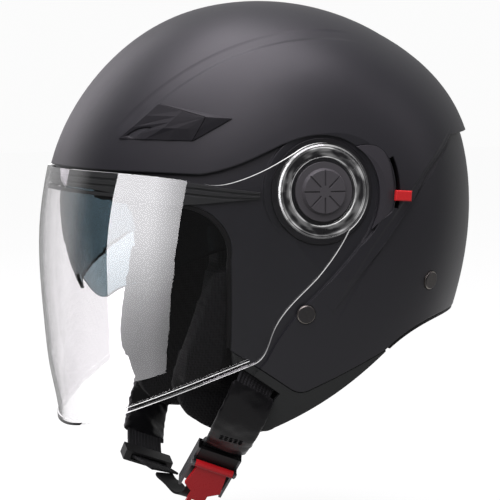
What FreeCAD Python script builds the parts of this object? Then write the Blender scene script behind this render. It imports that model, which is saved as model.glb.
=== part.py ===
import FreeCAD, Part
import math
import os

V = FreeCAD.Vector

# An open face motorcycle helmet, in millimetres. The origin is the midpoint between the two visor
# pivots. +Z is up, the face opening looks along -Y, and +X is the wearer's left.

# Shell: an egg, given by its side profile and by how it narrows towards the two sides.
SIDE = 123.0            # half width of the full egg, before its sides are flattened
AFT = 12.0              # the profile's centre lies this far behind the pivot axis
FULLNESS = 2.35         # 2 is an ellipse, more is boxier
# Profile radius at every 30 degrees, from 60 degrees below the rear, over the crown, to straight down.
PROFILE = (163.0, 129.5, 118.0, 116.3, 112.6, 114.9, 123.6, 133.8, 147.4, 160.0, 182.0, 212.0)
PROFILE_START = -60.0
PROFILE_STEP = 30.0
# How much of a wall's thickness each profile radius takes: none where the egg is open below.
WALL_SHARE = (0.3, 1.0, 1.0, 1.0, 1.0, 1.0, 1.0, 1.0, 1.0, 0.7, 0.2, 0.0)
SLICE_ANGLES = (0.0, 25.0, 45.0, 62.0, 80.0)
SHELL_WALL = 4.5
REAR_LIP_SHIFT = (5.3, -2.8)    # the upper rear panel is the egg moved back and down, which makes its lip
TOP_PANEL_SHIFT = (-0.9, 0.4)   # the top panel is the egg moved forward and up
BEYOND = 170.0          # further out than anything on the helmet
UNDER = -300.0          # lower than anything on the helmet
INBOARD = 60.0          # where a hole through one cheek starts
DRILL = 12.0            # how far a hole through the shell's wall runs each way
SINK = 0.5
NEAR = 0.001

# Visor recess and pivots.
RECESS = 2.6
POCKET_RADIUS = 32.0
POCKET_FLOOR = 117.6    # distance of the pocket's floor from the middle plane
BOSS_RADIUS = 36.0
BOSS_DEPTH = 5.0
BASE_THICK = 2.0
HUB_RADIUS = 16.95
HUB_CLEARANCE = 0.05
HUB_SHORT = 0.2
VISOR_WALL = 2.2
RING_RADIUS = 29.0
SWEEP_RADIUS = 41.0     # the flat land round the pocket, which the visor's edge passes over
SWEEP_GAP = 0.4
RING_INNER = 20.5
RING_PROUD = 1.3
RING_STEP = 0.8
RING_CHAMFER = 0.9
KNOB_FLANGE_RADIUS = 17.8
KNOB_FLANGE_THICK = 1.2
KNOB_CAP_RADIUS = 12.8
KNOB_CAP_THICK = 2.6
KNOB_STEM_RADIUS = 6.0
KNOB_TAPER = 1.2
KNOB_RIBS = 8
KNOB_GROOVE = 0.9
KNOB_EYE_RADIUS = 3.5
KNOB_LIFT = 0.3

# Visor: level slices, each with its height, its reach in front of the pivot axis and its half width.
VISOR_SLICES = (
    (45.0, 121.0, 120.2),
    (20.0, 132.6, 125.6),
    (-5.0, 138.0, 126.0),
    (-30.0, 140.9, 125.2),
    (-60.0, 140.8, 120.6),
    (-90.0, 138.7, 113.2),
    (-120.0, 135.4, 103.5),
    (-156.0, 131.0, 91.0),
)
VISOR_LIP = 3.4         # height of the thicker band along the lower edge
VISOR_LIP_PROUD = 0.8

# Sun visor: a surface turned about its own axis, so that it slides between shell and foam.
SUN_Y = -5.0
SUN_Z = -14.0
SUN_RADIUS = 122.7
SUN_SIDE = 105.0
SUN_WALL = 2.0
SUN_CLEARANCE = 0.9
SUN_PIN_RADIUS = 3.0
PIN_CLEARANCE = 0.05

# Sun visor lever.
SLOT_RADIUS = 48.5
SLOT_WIDTH = 3.0
SLOT_TOP = 24.0         # degrees above the pivot's level, behind the pivot
SLOT_BOTTOM = -13.0
LEVER_REST = -3.8
LEVER_WIDTH = 10.5
LEVER_HEIGHT = 6.4
LEVER_PROUD = 2.6
CRANK_THICK = 1.8
CRANK_GAP = 0.4
CRANK_SWEEP = 8.0
PIVOT_LIP = 2.0
PIVOT_LIP_THICK = 1.0

# The two toothed wheels between lever and sun visor, which turn opposite ways.
LEVER_TEETH = 16
SUN_TEETH = 12
TOOTH_FILL = 0.84       # how much of its half of the pitch a tooth fills
TOOTH_TALL = 0.85       # tooth height above the pitch circle, in modules
TOOTH_DEEP = 1.15
TOOTH_FOOT = 1.45       # half width of a tooth at its foot and crest, against its half width at the pitch
TOOTH_CREST = 0.45

# Linings.
FIT = 0.3               # gap between fixed layers
FOAM_INNER = -28.0
FOAM_INSET = 6.0
COMFORT_INNER = -34.0
CHEEK_INNER = -48.0
CHEEK_FRONT_OUTER = -7.0
CHEEK_LOW_OUTER = -24.0
NECK_INNER = -36.0

# Trims along the edges.
TRIM_SINK = 0.4
TRIM_WALL = 4.0
BAND_GAP = 0.5
TRIM_FACE = 1.0         # how far the brow trim lies under the plain egg
TRIM_GROOVE_WIDTH = 1.3
TRIM_GROOVE_DEPTH = 0.7
BEAD_WIDTH = 2.0

# Slider cover.
PANEL_PROUD = 0.3
PANEL_WALL = 2.2

# Visor in detail.
VISOR_CHEEK = 122.1     # outer face of its flat sides
VISOR_BACK = 60.0
VISOR_STEPS = 10

# Sun visor in detail.
SUN_ANGLES = (-75.0, -50.0, -25.0, 0.0, 25.0, 50.0, 75.0)
SUN_HUB = 11.0
SUN_CAP_RADIUS = 5.4
SUN_CAP_THICK = 1.6
SUN_LOBE_BACK = -45.0
SUN_SLEEVE = 5.0
SUN_SWEEP_LOW = -30.0
SUN_SWEEP_HIGH = 46.0
SUN_SWEEP_BACK = 20.0

# Where the shell's inner fittings lie, as distances from the middle plane.
BOSS_INNER = POCKET_FLOOR - BOSS_DEPTH
PIN_END = BOSS_INNER + 2.5
SCREW_END = POCKET_FLOOR - BOSS_DEPTH + 1.0
SUN_CHEEK = SUN_SIDE * math.sin(math.radians(75.0))     # outer face of the sun visor's flat arms
SUN_PIN_TIP = SUN_CHEEK - SUN_WALL - 0.4
FOAM_CAP_FLOOR = SUN_PIN_TIP - SUN_CAP_THICK - 1.0
CRANK_SPACE = 4.0       # depth of the foam's pocket for the crank and its pin head

# Lever in detail.
STEM_HALF = 2.2
STEM_SINK = 0.4
CRANK_HALF = 3.0
LEVER_INSET = 2.6
LEVER_LIFT = 1.8
LEVER_ROUND = 0.8

# Base plate screws.
BASE_SCREW_CIRCLE = 24.5
BASE_SCREW_ANGLES = (40.0, 160.0, 280.0)
SCREW_RADIUS = 1.4
SCREW_HEAD_RADIUS = 2.6
SCREW_HEAD_THICK = 0.9

# Strap rivets, as (y, z).
RIVET_RADIUS = 5.65
RIVET_SHANK = 2.5
RIVET_REACH = 8.0
RIVET_PROUD = 1.2
RIVET_SUNK = 0.4
FRONT_RIVET = (-8.8, -73.8)
REAR_RIVET = (76.2, -56.7)
HANGER_RADIUS = 8.0
HANGER_THICK = 1.2
LEG_SLACK = 1.8
LEG_PLAY = 1.0
LEG_INNER = 40.0
LEG_STEP = 2.0

# Vents: corners in the side view as (y, z), and how far rim and peak stand off the shell.
VENT_FRONT = (-110.0, 30.8)
VENT_TOP = (-88.5, 51.5)
VENT_REAR = (-52.0, 43.2)
VENT_LOW = (-74.3, 30.2)
VENT_PEAK = (-65.6, 43.2)
VENT_RIM_LIFT = 0.8
VENT_PEAK_LIFT = 3.2
VENT_ROOT = 7.0
VENT_GAP = 0.5
VENT_EDGE_STEPS = 3     # pieces that each straight edge is bent from, to follow the shell
VENT_INTAKE = (-84.0, 41.0)
INTAKE_LONG = 16.0
INTAKE_TALL = 6.0

# Chin straps: stations from inside the jaw trim to the buckle, each a point and the webbing's width
# direction, on the wearer's left and right.
WEB_WIDTH = 24.0
WEB_THICK = 1.6
PAD_WIDTH = 32.0
PAD_THICK = 6.0
LEFT_STRAP = (
    ((100.6, -28.0, -108.0), (0.07, 0.82, -0.57)), ((97.0, -32.6, -114.2), (0.07, 0.82, -0.57)),
    ((98.2, -35.2, -118.2), (0.07, 0.82, -0.57)), ((100.4, -37.8, -123.4), (0.07, 0.83, -0.55)),
    ((99.4, -41.0, -132.0), (0.1, 0.88, -0.47)), ((94.0, -44.0, -141.5), (0.15, 0.9, -0.4)),
    ((83.0, -44.5, -150.0), (0.15, 0.93, -0.36)), ((70.0, -42.5, -156.0), (0.1, 0.93, -0.344)),
    ((58.0, -40.8, -160.0), (0.1, 0.93, -0.344)), ((49.6, -40.0, -162.4), (0.1, 0.93, -0.344)),
    ((45.8, -40.8, -165.5), (0.1, 0.93, -0.344)), ((42.7, -41.9, -169.3), (0.1, 0.93, -0.344)),
)
RIGHT_STRAP = (
    ((-100.6, -28.0, -108.0), (-0.07, 0.82, -0.57)), ((-97.0, -32.6, -114.2), (-0.07, 0.82, -0.57)),
    ((-98.2, -35.2, -118.2), (-0.07, 0.82, -0.57)), ((-100.4, -37.8, -123.4), (-0.07, 0.83, -0.55)),
    ((-98.0, -43.0, -137.0), (-0.05, 0.86, -0.5)), ((-86.0, -52.0, -156.0), (0.1, 0.86, -0.45)),
    ((-62.0, -61.0, -172.0), (0.2, 0.88, -0.4)), ((-32.0, -67.5, -181.5), (0.1, 0.93, -0.35)),
    ((-13.0, -66.0, -184.0), (-0.15, 0.93, -0.33)), ((-4.0, -62.8, -186.3), (-0.15, 0.93, -0.33)),
)
PAD_STATIONS_LEFT = (3, 10)
PAD_STATIONS_RIGHT = (3, 7)
STRAP_MEET = (-28.0, -108.0)
STRAP_SLOT = ((-47.0, -104.6), (-20.3, -123.2), (-25.6, -131.0), (-52.3, -112.4))

# Buckle: its middle, the way the strap runs through it, and its width direction.
BUCKLE = (35.5, -44.5, -178.5)
BUCKLE_ALONG = (-0.6, -0.22, -0.77)
BUCKLE_ACROSS = (0.1, 0.93, -0.344)
FRAME_LONG = 34.0
FRAME_WIDE = 29.0
FRAME_TALL = 9.0
FRAME_WALL = 1.6
BUCKLE_PIN_END = 0.6
BUCKLE_PIN_RADIUS = 1.5
BUCKLE_PIN_ALONG = -7.0
BUCKLE_PIN_HIGH = 7.4
EAR_RADIUS = 2.4
COVER_END = -3.0
COVER_LOW = 1.6
LEVER_PLATE_LOW = 5.0
PAWL_ALONG = 0.6
PAWL_LONG = 3.0
PAWL_TIP = 0.3
LEVER_PLATE_WIDE = 22.0
LEVER_PLATE_LONG = 24.0
LEVER_PLATE_THICK = 2.6
LEVER_WAIST = 1.5
LEVER_FLARE = 1.0
LEVER_NECK = 5.0
TAB_WIDE = 11.0
TAB_LONG = 20.0
TAB_ROUND = 3.0
TAB_WINDOW = 5.5
TAB_WINDOW_START = 14.0
TAB_WINDOW_END = 5.0
TONGUE_WIDE = 15.0
TONGUE_THICK = 1.8
TONGUE_TEETH = 8
TONGUE_PITCH = 2.4
TONGUE_LEVEL = -1.7
TONGUE_START = -1.5
TONGUE_STRAIGHT = 22.0
TONGUE_JOIN = (1.5, 0.2)
TONGUE_LEAD = 1.0
TONGUE_TOOTH = 0.8
TONGUE_TOOTH_SINK = 0.2
TONGUE_TOOTH_SHARE = 0.8
ADJUSTER_LONG = 14.0
ADJUSTER_WIDE = 33.0
ADJUSTER_TALL = 7.0
ADJUSTER_ROUND = 1.2
ADJUSTER_PLAY = 1.2
ADJUSTER_STATION = 7
TONGUE_STATIONS = (
    ((16.5, -51.9, -199.0), (0.1, 0.93, -0.344)), ((9.0, -55.6, -198.5), (0.05, 0.93, -0.35)),
    ((1.5, -59.3, -193.2), (-0.1, 0.93, -0.34)), ((-7.0, -62.6, -188.4), (-0.15, 0.93, -0.33)),
)

domes = {}


def slice_wire(x, grow):
    """One slice of the egg, as a closed curve in the plane at x."""
    reach = SIDE + grow
    share = (1 - abs(x / reach) ** FULLNESS) ** (1 / FULLNESS)
    points = []
    for step, radius in enumerate(PROFILE):
        angle = math.radians(PROFILE_START + PROFILE_STEP * step)
        r = (radius + grow * WALL_SHARE[step]) * share
        points.append(V(x, AFT + r * math.cos(angle), r * math.sin(angle)))
    curve = Part.BSplineCurve()
    curve.interpolate(points, PeriodicFlag=True)
    return Part.Wire([curve.toShape()])


def dome(grow=0.0):
    """The egg, grown by this much all over. Each size is made once."""
    if grow not in domes:
        angles = [-a for a in SLICE_ANGLES[:0:-1]] + list(SLICE_ANGLES)
        wires = [slice_wire((SIDE + grow) * math.sin(math.radians(a)), grow) for a in angles]
        domes[grow] = Part.makeLoft(wires, True, False)
    return domes[grow]


def layer(outer, inner):
    """The space between two sizes of the egg."""
    return dome(outer).cut(dome(inner))


def outline_face(runs, place):
    """A flat face from runs of points: a run of two points is straight, a longer one is a smooth curve.
    Each run starts where the one before it ends, and the last one is closed with a straight edge."""
    edges = []
    for run in runs:
        points = [place(*p) for p in run]
        if (points[0] - points[-1]).Length < NEAR:
            continue
        if len(points) == 2:
            edges.append(Part.makeLine(points[0], points[1]))
        else:
            curve = Part.BSplineCurve()
            curve.interpolate(points)
            edges.append(curve.toShape())
    first = place(*runs[0][0])
    last = place(*runs[-1][-1])
    if (first - last).Length > NEAR:
        edges.append(Part.makeLine(last, first))
    return Part.Face(Part.Wire(edges))


def side_prism(runs, low=-BEYOND, high=BEYOND):
    """An outline drawn in the side view, as (y, z), carried across from x = low to x = high."""
    face = outline_face(runs, lambda y, z: V(low, y, z))
    return face.extrude(V(high - low, 0, 0))


def joined(*chains):
    """Straight runs through the corners of a polygon."""
    corners = [p for chain in chains for p in chain]
    return [[a, b] for a, b in zip(corners, corners[1:])]


def turned_disc(radius, low, high, y=0.0, z=0.0):
    """A round disc about a line along X, from x = low to x = high."""
    return Part.makeCylinder(radius, high - low, V(low, y, z), V(1, 0, 0))


def mirrored(shape):
    return shape.mirror(V(0, 0, 0), V(1, 0, 0))


def both(shape):
    return shape.fuse(mirrored(shape))


def half(shape, side):
    """The part of a shape on one side of the middle plane: side is 1 on the left and -1 on the right."""
    low = 0.0 if side > 0 else -BEYOND
    return shape.common(Part.makeBox(BEYOND, 4 * BEYOND, 4 * BEYOND, V(low, -2 * BEYOND, -2 * BEYOND)))


def flat_at(edge, x):
    """True for an edge that lies in the plane at x."""
    return edge.BoundBox.XLength < NEAR and abs(edge.BoundBox.XMax - x) < NEAR


def moved(shape, y, z):
    copy = shape.copy()
    copy.translate(V(0, y, z))
    return copy


def save(name, shape):
    if shape.ShapeType == "Compound" and len(shape.Solids) == 1:
        shape = shape.Solids[0]
    shape.exportStep("parts/" + name + ".step")
    print(name, len(shape.Solids), round(shape.Volume / 1000, 2), shape.isValid())


# Side view outlines, as (y, z).
REAR_CREASE = [(8.0, -73.0), (24.0, -51.0), (41.0, -31.3), (57.8, -9.5), (69.5, 10.0), (92.7, 32.4)]
TOP_CREASE = [(-124.0, 12.0), (-109.0, 35.0), (-89.0, 56.0), (-60.0, 75.8), (-34.0, 85.5), (-13.0, 91.9),
              (13.6, 94.1), (45.0, 92.0)]
PORT_TOP = [(-BEYOND, 1.5), (-110.0, -2.0), (-78.4, -7.6)]
PORT_CORNER = [(-78.4, -7.6), (-64.8, -13.5), (-55.2, -26.5), (-53.8, -40.0)]
PORT_REAR = [(-53.8, -40.0), (-50.8, -95.6)]
BAND_FRONT = [(-50.8, -95.6), (-14.0, -120.4)]
BAND_CORNER = [(-14.0, -120.4), (-8.0, -122.2), (-1.0, -120.0)]
BAND_REAR = [(-1.0, -120.0), (46.0, -98.0)]
RIM_REAR = [(46.0, -98.0), (61.7, -87.5), (80.0, -80.8), (BEYOND, -77.0)]
JAW_RIM = [(46.0, -99.5), (24.7, -116.4), (-20.5, -145.2)]
JAW_TIP = [(-20.5, -145.2), (-27.0, -147.6), (-31.5, -144.0)]
JAW_FRONT = [(-31.5, -144.0), (-45.0, -118.0), (-50.0, -96.8)]
RECESS_FRONT = [(-BEYOND, 12.8), (-104.0, 11.6), (-72.2, 10.5)]
RECESS_STEP = [(-72.2, 10.5), (-57.8, 13.8), (-43.5, 19.1), (-19.5, 29.8), (-1.6, 33.6), (15.0, 30.6),
               (30.0, 18.0), (35.6, 0.0), (30.5, -23.0), (17.0, -41.6), (-4.0, -63.4), (-30.0, -102.0)]
VISOR_TOP = [(-12.7, 26.0), (-26.0, 18.3), (-38.0, 12.2), (-52.4, 6.4), (-64.0, 4.2), (-77.0, 6.2),
             (-92.7, 8.6), (-117.0, 10.6), (-BEYOND, 11.4)]
VISOR_LOW = [(-BEYOND, -168.0), (-128.5, -148.8), (-103.3, -135.0), (-78.8, -122.6), (-41.0, -105.5)]
VISOR_REAR = [(-41.0, -105.5), (-34.0, -101.5), (-27.6, -84.0), (-7.0, -56.0), (19.1, -18.8)]
TRIM_TOP = [(-BEYOND, 10.4), (-128.0, 10.2), (-104.0, 9.2), (-72.0, 4.6), (-38.0, 0.0)]
TRIM_LOW = [(-38.0, -4.6), (-60.0, -5.9), (-84.0, -7.6), (-110.0, -3.2), (-BEYOND, 0.4)]
TRIM_LIP = [(-BEYOND, 1.2), (-110.0, -2.3), (-84.0, -7.0), (-84.0, -9.0), (-110.0, -4.3), (-BEYOND, -0.8)]
TRIM_GROOVES = ([(-BEYOND, 7.6), (-128.0, 7.4), (-104.0, 6.0), (-72.0, 2.2), (-33.0, -1.6)],
                [(-BEYOND, 3.8), (-128.0, 3.6), (-104.0, 2.2), (-72.0, -1.4), (-33.0, -3.2)])
BEAD_SPAN = [(-80.0, -4.0), (-48.0, -4.0), (-48.0, -94.0), (-80.0, -94.0)]
BEAD_STEP = (-0.9, -0.9)
RIM_SPAN = [(49.0, -60.0), (BEYOND, -60.0), (BEYOND, -110.0), (49.0, -110.0)]
JAW_BACK = [(-49.0, -90.0), (46.0, -90.0)]
SUN_OUTLINE = [(-5.0, -25.0), (-52.0, -35.0), (-62.0, -80.0), (-BEYOND, -80.0), (-BEYOND, 23.0),
               (-70.0, 1.0), (-5.0, -3.0)]
SUN_LOBES = [(0.0, -55.0), (9.0, -58.5), (19.0, -66.0), (30.0, -68.2), (45.0, -63.2), (74.0, -52.4),
             (90.5, -41.5), (102.0, -30.0)]
FOAM_BEHIND = [(46.0, -60.0), (BEYOND, -60.0), (BEYOND, -BEYOND), (46.0, -BEYOND)]
CROWN_LOW = [(-BEYOND, -9.0), (-104.0, -12.0), (-60.0, -14.0), (50.0, -25.0), (BEYOND, -25.0)]
NECK_AREA = [(46.3, -61.0), (BEYOND, -61.0), (BEYOND, -75.5), (80.0, -79.0), (62.0, -85.5), (46.3, -96.0)]
CHEEK_UPPER = [(-57.0, -17.0), (40.0, -27.0), (40.0, -95.0), (-13.0, -117.0), (-57.0, -93.0)]
CHEEK_FRONT = [(-48.5, -47.0), (-60.0, -47.0), (-67.0, -80.0), (-72.0, -98.0), (-74.0, -120.0),
               (-50.0, -120.0), (-50.0, -96.5), (-48.5, -96.0)]
CHEEK_LOW = [(-74.0, -118.0), (-67.0, -137.5), (-52.0, -150.5), (-30.0, -155.0), (-8.0, -148.0),
             (10.0, -133.0), (31.0, -115.5), (46.0, -101.0)]
CHEEK_LOW_TOP = [(46.0, -101.0), (-8.0, -123.5), (-50.0, -97.5), (-74.0, -118.0)]
PANEL_OUTER = [(21.5, 26.3), (41.5, 20.6), (45.6, 8.0), (46.6, -3.0), (44.5, -12.6)]
PANEL_LOW = (31.4, -23.1)
PANEL_INNER = [(31.4, -23.1), (36.3, -8.0), (35.4, 7.0), (21.5, 26.3)]


def on_circle(radius, angle, y=0.0, z=0.0):
    """A point in the side view at this angle above the +Y direction."""
    return y + radius * math.cos(math.radians(angle)), z + radius * math.sin(math.radians(angle))


def base_screw_places():
    """Where the screws of a base plate stand in the side view."""
    return [on_circle(BASE_SCREW_CIRCLE, angle) for angle in BASE_SCREW_ANGLES]


def helmet_solid():
    """The whole outside of the shell, before anything is cut from it."""
    body = dome()
    rear = moved(body, *REAR_LIP_SHIFT)
    above = joined(REAR_CREASE, [(BEYOND, 38.0), (BEYOND, BEYOND), (-BEYOND, BEYOND), (-BEYOND, -40.0),
                                 (-20.0, -40.0), REAR_CREASE[0]])
    top = moved(body, *TOP_PANEL_SHIFT)
    panel = [TOP_CREASE] + joined([TOP_CREASE[-1], (BEYOND, 92.0), (BEYOND, BEYOND), (-BEYOND, BEYOND),
                                   (-BEYOND, 12.0), TOP_CREASE[0]])
    return body.fuse(rear.common(side_prism(above))).fuse(top.common(side_prism(panel)))


def open_front_and_below():
    """What the shell leaves open: the face opening and everything under its lower edge."""
    runs = [PORT_TOP, PORT_CORNER, PORT_REAR, BAND_FRONT, BAND_CORNER, BAND_REAR, RIM_REAR]
    return side_prism(runs + joined([RIM_REAR[-1], (BEYOND, UNDER), (-BEYOND, UNDER), PORT_TOP[0]]))


def recess_area():
    """Everything in front of the recess step, where the visor lies."""
    return side_prism([RECESS_FRONT, RECESS_STEP]
                      + joined([RECESS_STEP[-1], (-37.0, -112.0), (-60.0, -130.0),
                                                 (-BEYOND, -130.0), RECESS_FRONT[0]]))


def outer_shell():
    """The moulded shell, with everything that is cut into it."""
    shell = helmet_solid().cut(dome(-SHELL_WALL))
    shell = shell.cut(recess_area().cut(dome(-RECESS)))
    shell = shell.cut(open_front_and_below())
    boss = turned_disc(BOSS_RADIUS, BOSS_INNER, POCKET_FLOOR)
    pocket = turned_disc(POCKET_RADIUS, POCKET_FLOOR, BEYOND)
    pocket = pocket.fuse(turned_disc(SWEEP_RADIUS, VISOR_CHEEK - VISOR_WALL - SWEEP_GAP, BEYOND))
    for y, z in base_screw_places():
        pocket = pocket.fuse(turned_disc(SCREW_RADIUS + HUB_CLEARANCE, SCREW_END - FIT, BEYOND, y, z))
    pin_bore = turned_disc(SUN_PIN_RADIUS + PIN_CLEARANCE, BOSS_INNER - 1, PIN_END + FIT, SUN_Y, SUN_Z)
    lever_bore = turned_disc(SUN_PIN_RADIUS + PIN_CLEARANCE, BOSS_INNER - 1, PIN_END + FIT)
    shell = shell.fuse(both(boss)).cut(both(pocket.fuse(pin_bore))).cut(lever_bore)
    return shell.cut(slider_pocket()).cut(rivet_seats()).cut(both(vent_intake()))


def jaw_trim(side):
    """The moulded trim under the shell's side, with the slot that the chin strap comes out of."""
    runs = [JAW_RIM, JAW_TIP, JAW_FRONT] + joined([JAW_FRONT[-1]] + JAW_BACK + [JAW_RIM[0]])
    trim = side_prism(runs).common(moved(open_front_and_below(), 0, -BAND_GAP))
    trim = trim.common(layer(-TRIM_SINK, -TRIM_SINK - TRIM_WALL)).cut(recess_area().cut(dome(-RECESS)))
    return half(trim.cut(side_prism(joined(STRAP_SLOT, [STRAP_SLOT[0]]))), side)


def brow_trim():
    """The ribbed strip over the face opening, with a lip that wraps the shell's edge."""
    face = side_prism([TRIM_TOP] + joined([TRIM_TOP[-1], TRIM_LOW[0]]) + [TRIM_LOW]
                      + joined([TRIM_LOW[-1], TRIM_TOP[0]]))
    strip = layer(-TRIM_FACE, -RECESS + FIT).common(face)
    lip = side_prism(joined(TRIM_LIP, [TRIM_LIP[0]]))
    strip = strip.fuse(layer(-TRIM_FACE, -SHELL_WALL).common(lip))
    for groove in TRIM_GROOVES:
        below = [(y, z - TRIM_GROOVE_WIDTH) for y, z in groove[::-1]]
        band = [groove, [groove[-1], below[0]], below, [below[-1], groove[0]]]
        strip = strip.cut(side_prism(band).cut(dome(-TRIM_FACE - TRIM_GROOVE_DEPTH)))
    return strip


def visor_body(shrink=0.0):
    """The visor's bubble as a solid, closed across its back, made from level slices."""
    wires = []
    for z, front, width in VISOR_SLICES:
        a = width - shrink
        b = front + AFT - shrink
        points = []
        for step in range(VISOR_STEPS + 1):
            turn = math.pi * step / VISOR_STEPS
            across = abs(math.cos(turn)) ** (2 / FULLNESS) * math.copysign(1, math.cos(turn))
            points.append(V(a * across, AFT - b * math.sin(turn) ** (2 / FULLNESS), z))
        curve = Part.BSplineCurve()
        curve.interpolate(points)
        back = [points[-1], V(-a, VISOR_BACK, z), V(a, VISOR_BACK, z), points[0]]
        wires.append(Part.Wire([curve.toShape()] + [Part.makeLine(p, q) for p, q in zip(back, back[1:])]))
    body = Part.makeLoft(wires, True, False)
    cheek = VISOR_CHEEK - shrink
    return body.common(Part.makeBox(2 * cheek, 2 * BEYOND, 2 * BEYOND, V(-cheek, -BEYOND, -BEYOND)))


def visor_outline(lift=0.0):
    """The visor in the side view: a disc round each pivot and the shield in front of it.
    lift raises the lower edge, to leave the band along it."""
    low = [(y, z + lift) for y, z in VISOR_LOW]
    return side_prism([VISOR_TOP, [VISOR_TOP[-1], low[0]], low, [low[-1], VISOR_REAR[0]], VISOR_REAR,
                       [VISOR_REAR[-1], VISOR_TOP[0]]])


def visor():
    """The clear shield, with the ring that turns on the hub at each side."""
    ring = turned_disc(RING_RADIUS, VISOR_CHEEK - VISOR_WALL, VISOR_CHEEK)
    face = VISOR_CHEEK + RING_PROUD
    collar = turned_disc(RING_RADIUS - RING_STEP, VISOR_CHEEK - RING_STEP, face)
    collar = collar.makeChamfer(RING_CHAMFER, [e for e in collar.Edges if flat_at(e, face)])
    collar = collar.cut(turned_disc(RING_INNER, VISOR_CHEEK, BEYOND))
    shield = visor_body().cut(visor_body(VISOR_WALL)).common(visor_outline())
    thick = visor_body(-VISOR_LIP_PROUD).cut(visor_body(VISOR_WALL))
    band = thick.common(visor_outline().cut(visor_outline(VISOR_LIP)))
    shield = shield.fuse(band).fuse(both(ring)).fuse(both(collar))
    bore = turned_disc(HUB_RADIUS + HUB_CLEARANCE, INBOARD, BEYOND)
    return shield.cut(both(bore))


def visor_base(side):
    """The plate screwed into the shell's pocket, with the hub that the visor turns on."""
    base = turned_disc(POCKET_RADIUS - FIT, POCKET_FLOOR, POCKET_FLOOR + BASE_THICK)
    base = base.fuse(turned_disc(HUB_RADIUS, POCKET_FLOOR + BASE_THICK - SINK, VISOR_CHEEK - HUB_SHORT))
    base = base.cut(turned_disc(KNOB_STEM_RADIUS + HUB_CLEARANCE, POCKET_FLOOR, BEYOND))
    for y, z in base_screw_places():
        base = base.cut(turned_disc(SCREW_RADIUS, POCKET_FLOOR - 1, BEYOND, y, z))
        base = base.cut(turned_disc(SCREW_HEAD_RADIUS + FIT, POCKET_FLOOR + BASE_THICK / 2, BEYOND, y, z))
    return base if side > 0 else mirrored(base)


def base_screws():
    """The screws that hold both base plates."""
    seat = POCKET_FLOOR + BASE_THICK / 2
    screws = []
    for y, z in base_screw_places():
        head = turned_disc(SCREW_HEAD_RADIUS, seat, seat + SCREW_HEAD_THICK, y, z)
        shank = turned_disc(SCREW_RADIUS, SCREW_END, seat, y, z)
        screws.append(head.fuse(shank))
    return Part.makeCompound(screws + [mirrored(s) for s in screws])


def pivot_knob(side):
    """The knob that is turned to let the visor off: a flange over the visor, and a ribbed cap."""
    start = VISOR_CHEEK + KNOB_LIFT
    knob = turned_disc(KNOB_FLANGE_RADIUS, start, start + KNOB_FLANGE_THICK)
    rim = start + KNOB_FLANGE_THICK
    foot = KNOB_CAP_RADIUS + KNOB_TAPER
    cap = Part.makeCone(foot, KNOB_CAP_RADIUS, KNOB_CAP_THICK, V(rim, 0, 0), V(1, 0, 0))
    knob = knob.fuse(cap).fuse(turned_disc(KNOB_STEM_RADIUS, POCKET_FLOOR + KNOB_LIFT, start))
    for rib in range(KNOB_RIBS):
        groove = Part.makeBox(KNOB_GROOVE, KNOB_CAP_RADIUS, KNOB_GROOVE,
                              V(rim + KNOB_CAP_THICK - KNOB_GROOVE, KNOB_EYE_RADIUS, -KNOB_GROOVE / 2))
        groove.rotate(V(0, 0, 0), V(1, 0, 0), 360.0 * rib / KNOB_RIBS)
        knob = knob.cut(groove)
    return knob if side > 0 else mirrored(knob)


def sun_body(shrink=0.0):
    """The solid inside one face of the sun visor, turned about the sun visor's own axis."""
    points = []
    for angle in SUN_ANGLES:
        share = math.sin(math.radians(angle))
        across = (1 - abs(share) ** FULLNESS) ** (1 / FULLNESS)
        points.append(V((SUN_SIDE - shrink) * share, SUN_Y - (SUN_RADIUS - shrink) * across, SUN_Z))
    curve = Part.BSplineCurve()
    curve.interpolate(points)
    first = V(points[0].x, SUN_Y, SUN_Z)
    last = V(points[-1].x, SUN_Y, SUN_Z)
    edges = [curve.toShape(), Part.makeLine(points[-1], last), Part.makeLine(last, first),
             Part.makeLine(first, points[0])]
    return Part.Face(Part.Wire(edges)).revolve(V(0, SUN_Y, SUN_Z), V(1, 0, 0), 360.0)


def sun_visor():
    """The tinted inner shield, with a lobe over each eye, a notch for the nose and an arm to each pin.
    The left arm's sleeve ends in a toothed wheel that the lever drives."""
    sheet = sun_body().cut(sun_body(SUN_WALL))
    hub = turned_disc(SUN_HUB, -BEYOND, BEYOND, SUN_Y, SUN_Z)
    sheet = sheet.common(side_prism(joined(SUN_OUTLINE, [SUN_OUTLINE[0]])).fuse(hub))
    lobes = [(-x, z) for x, z in SUN_LOBES[:0:-1]] + SUN_LOBES
    side, low = lobes[-1][0], -2 * BEYOND
    below = outline_face([lobes] + joined([lobes[-1], (side, low), (-side, low), lobes[0]]),
                         lambda x, z: V(x, -BEYOND, z))
    sheet = sheet.cut(below.extrude(V(0, BEYOND + SUN_LOBE_BACK, 0)))
    sleeve_end = BOSS_INNER - CRANK_GAP
    sleeve = turned_disc(SUN_SLEEVE, SUN_CHEEK - SUN_WALL / 2, sleeve_end, SUN_Y, SUN_Z)
    wheel = toothed_wheel(SUN_TEETH, sleeve_end - CRANK_THICK, sleeve_end, SUN_Y, SUN_Z,
                          math.degrees(math.atan2(-SUN_Z, -SUN_Y)), 1)
    sheet = sheet.fuse(both(sleeve)).fuse(wheel)
    bore = turned_disc(SUN_PIN_RADIUS + PIN_CLEARANCE, INBOARD, BEYOND, SUN_Y, SUN_Z)
    return sheet.cut(both(bore))


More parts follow.
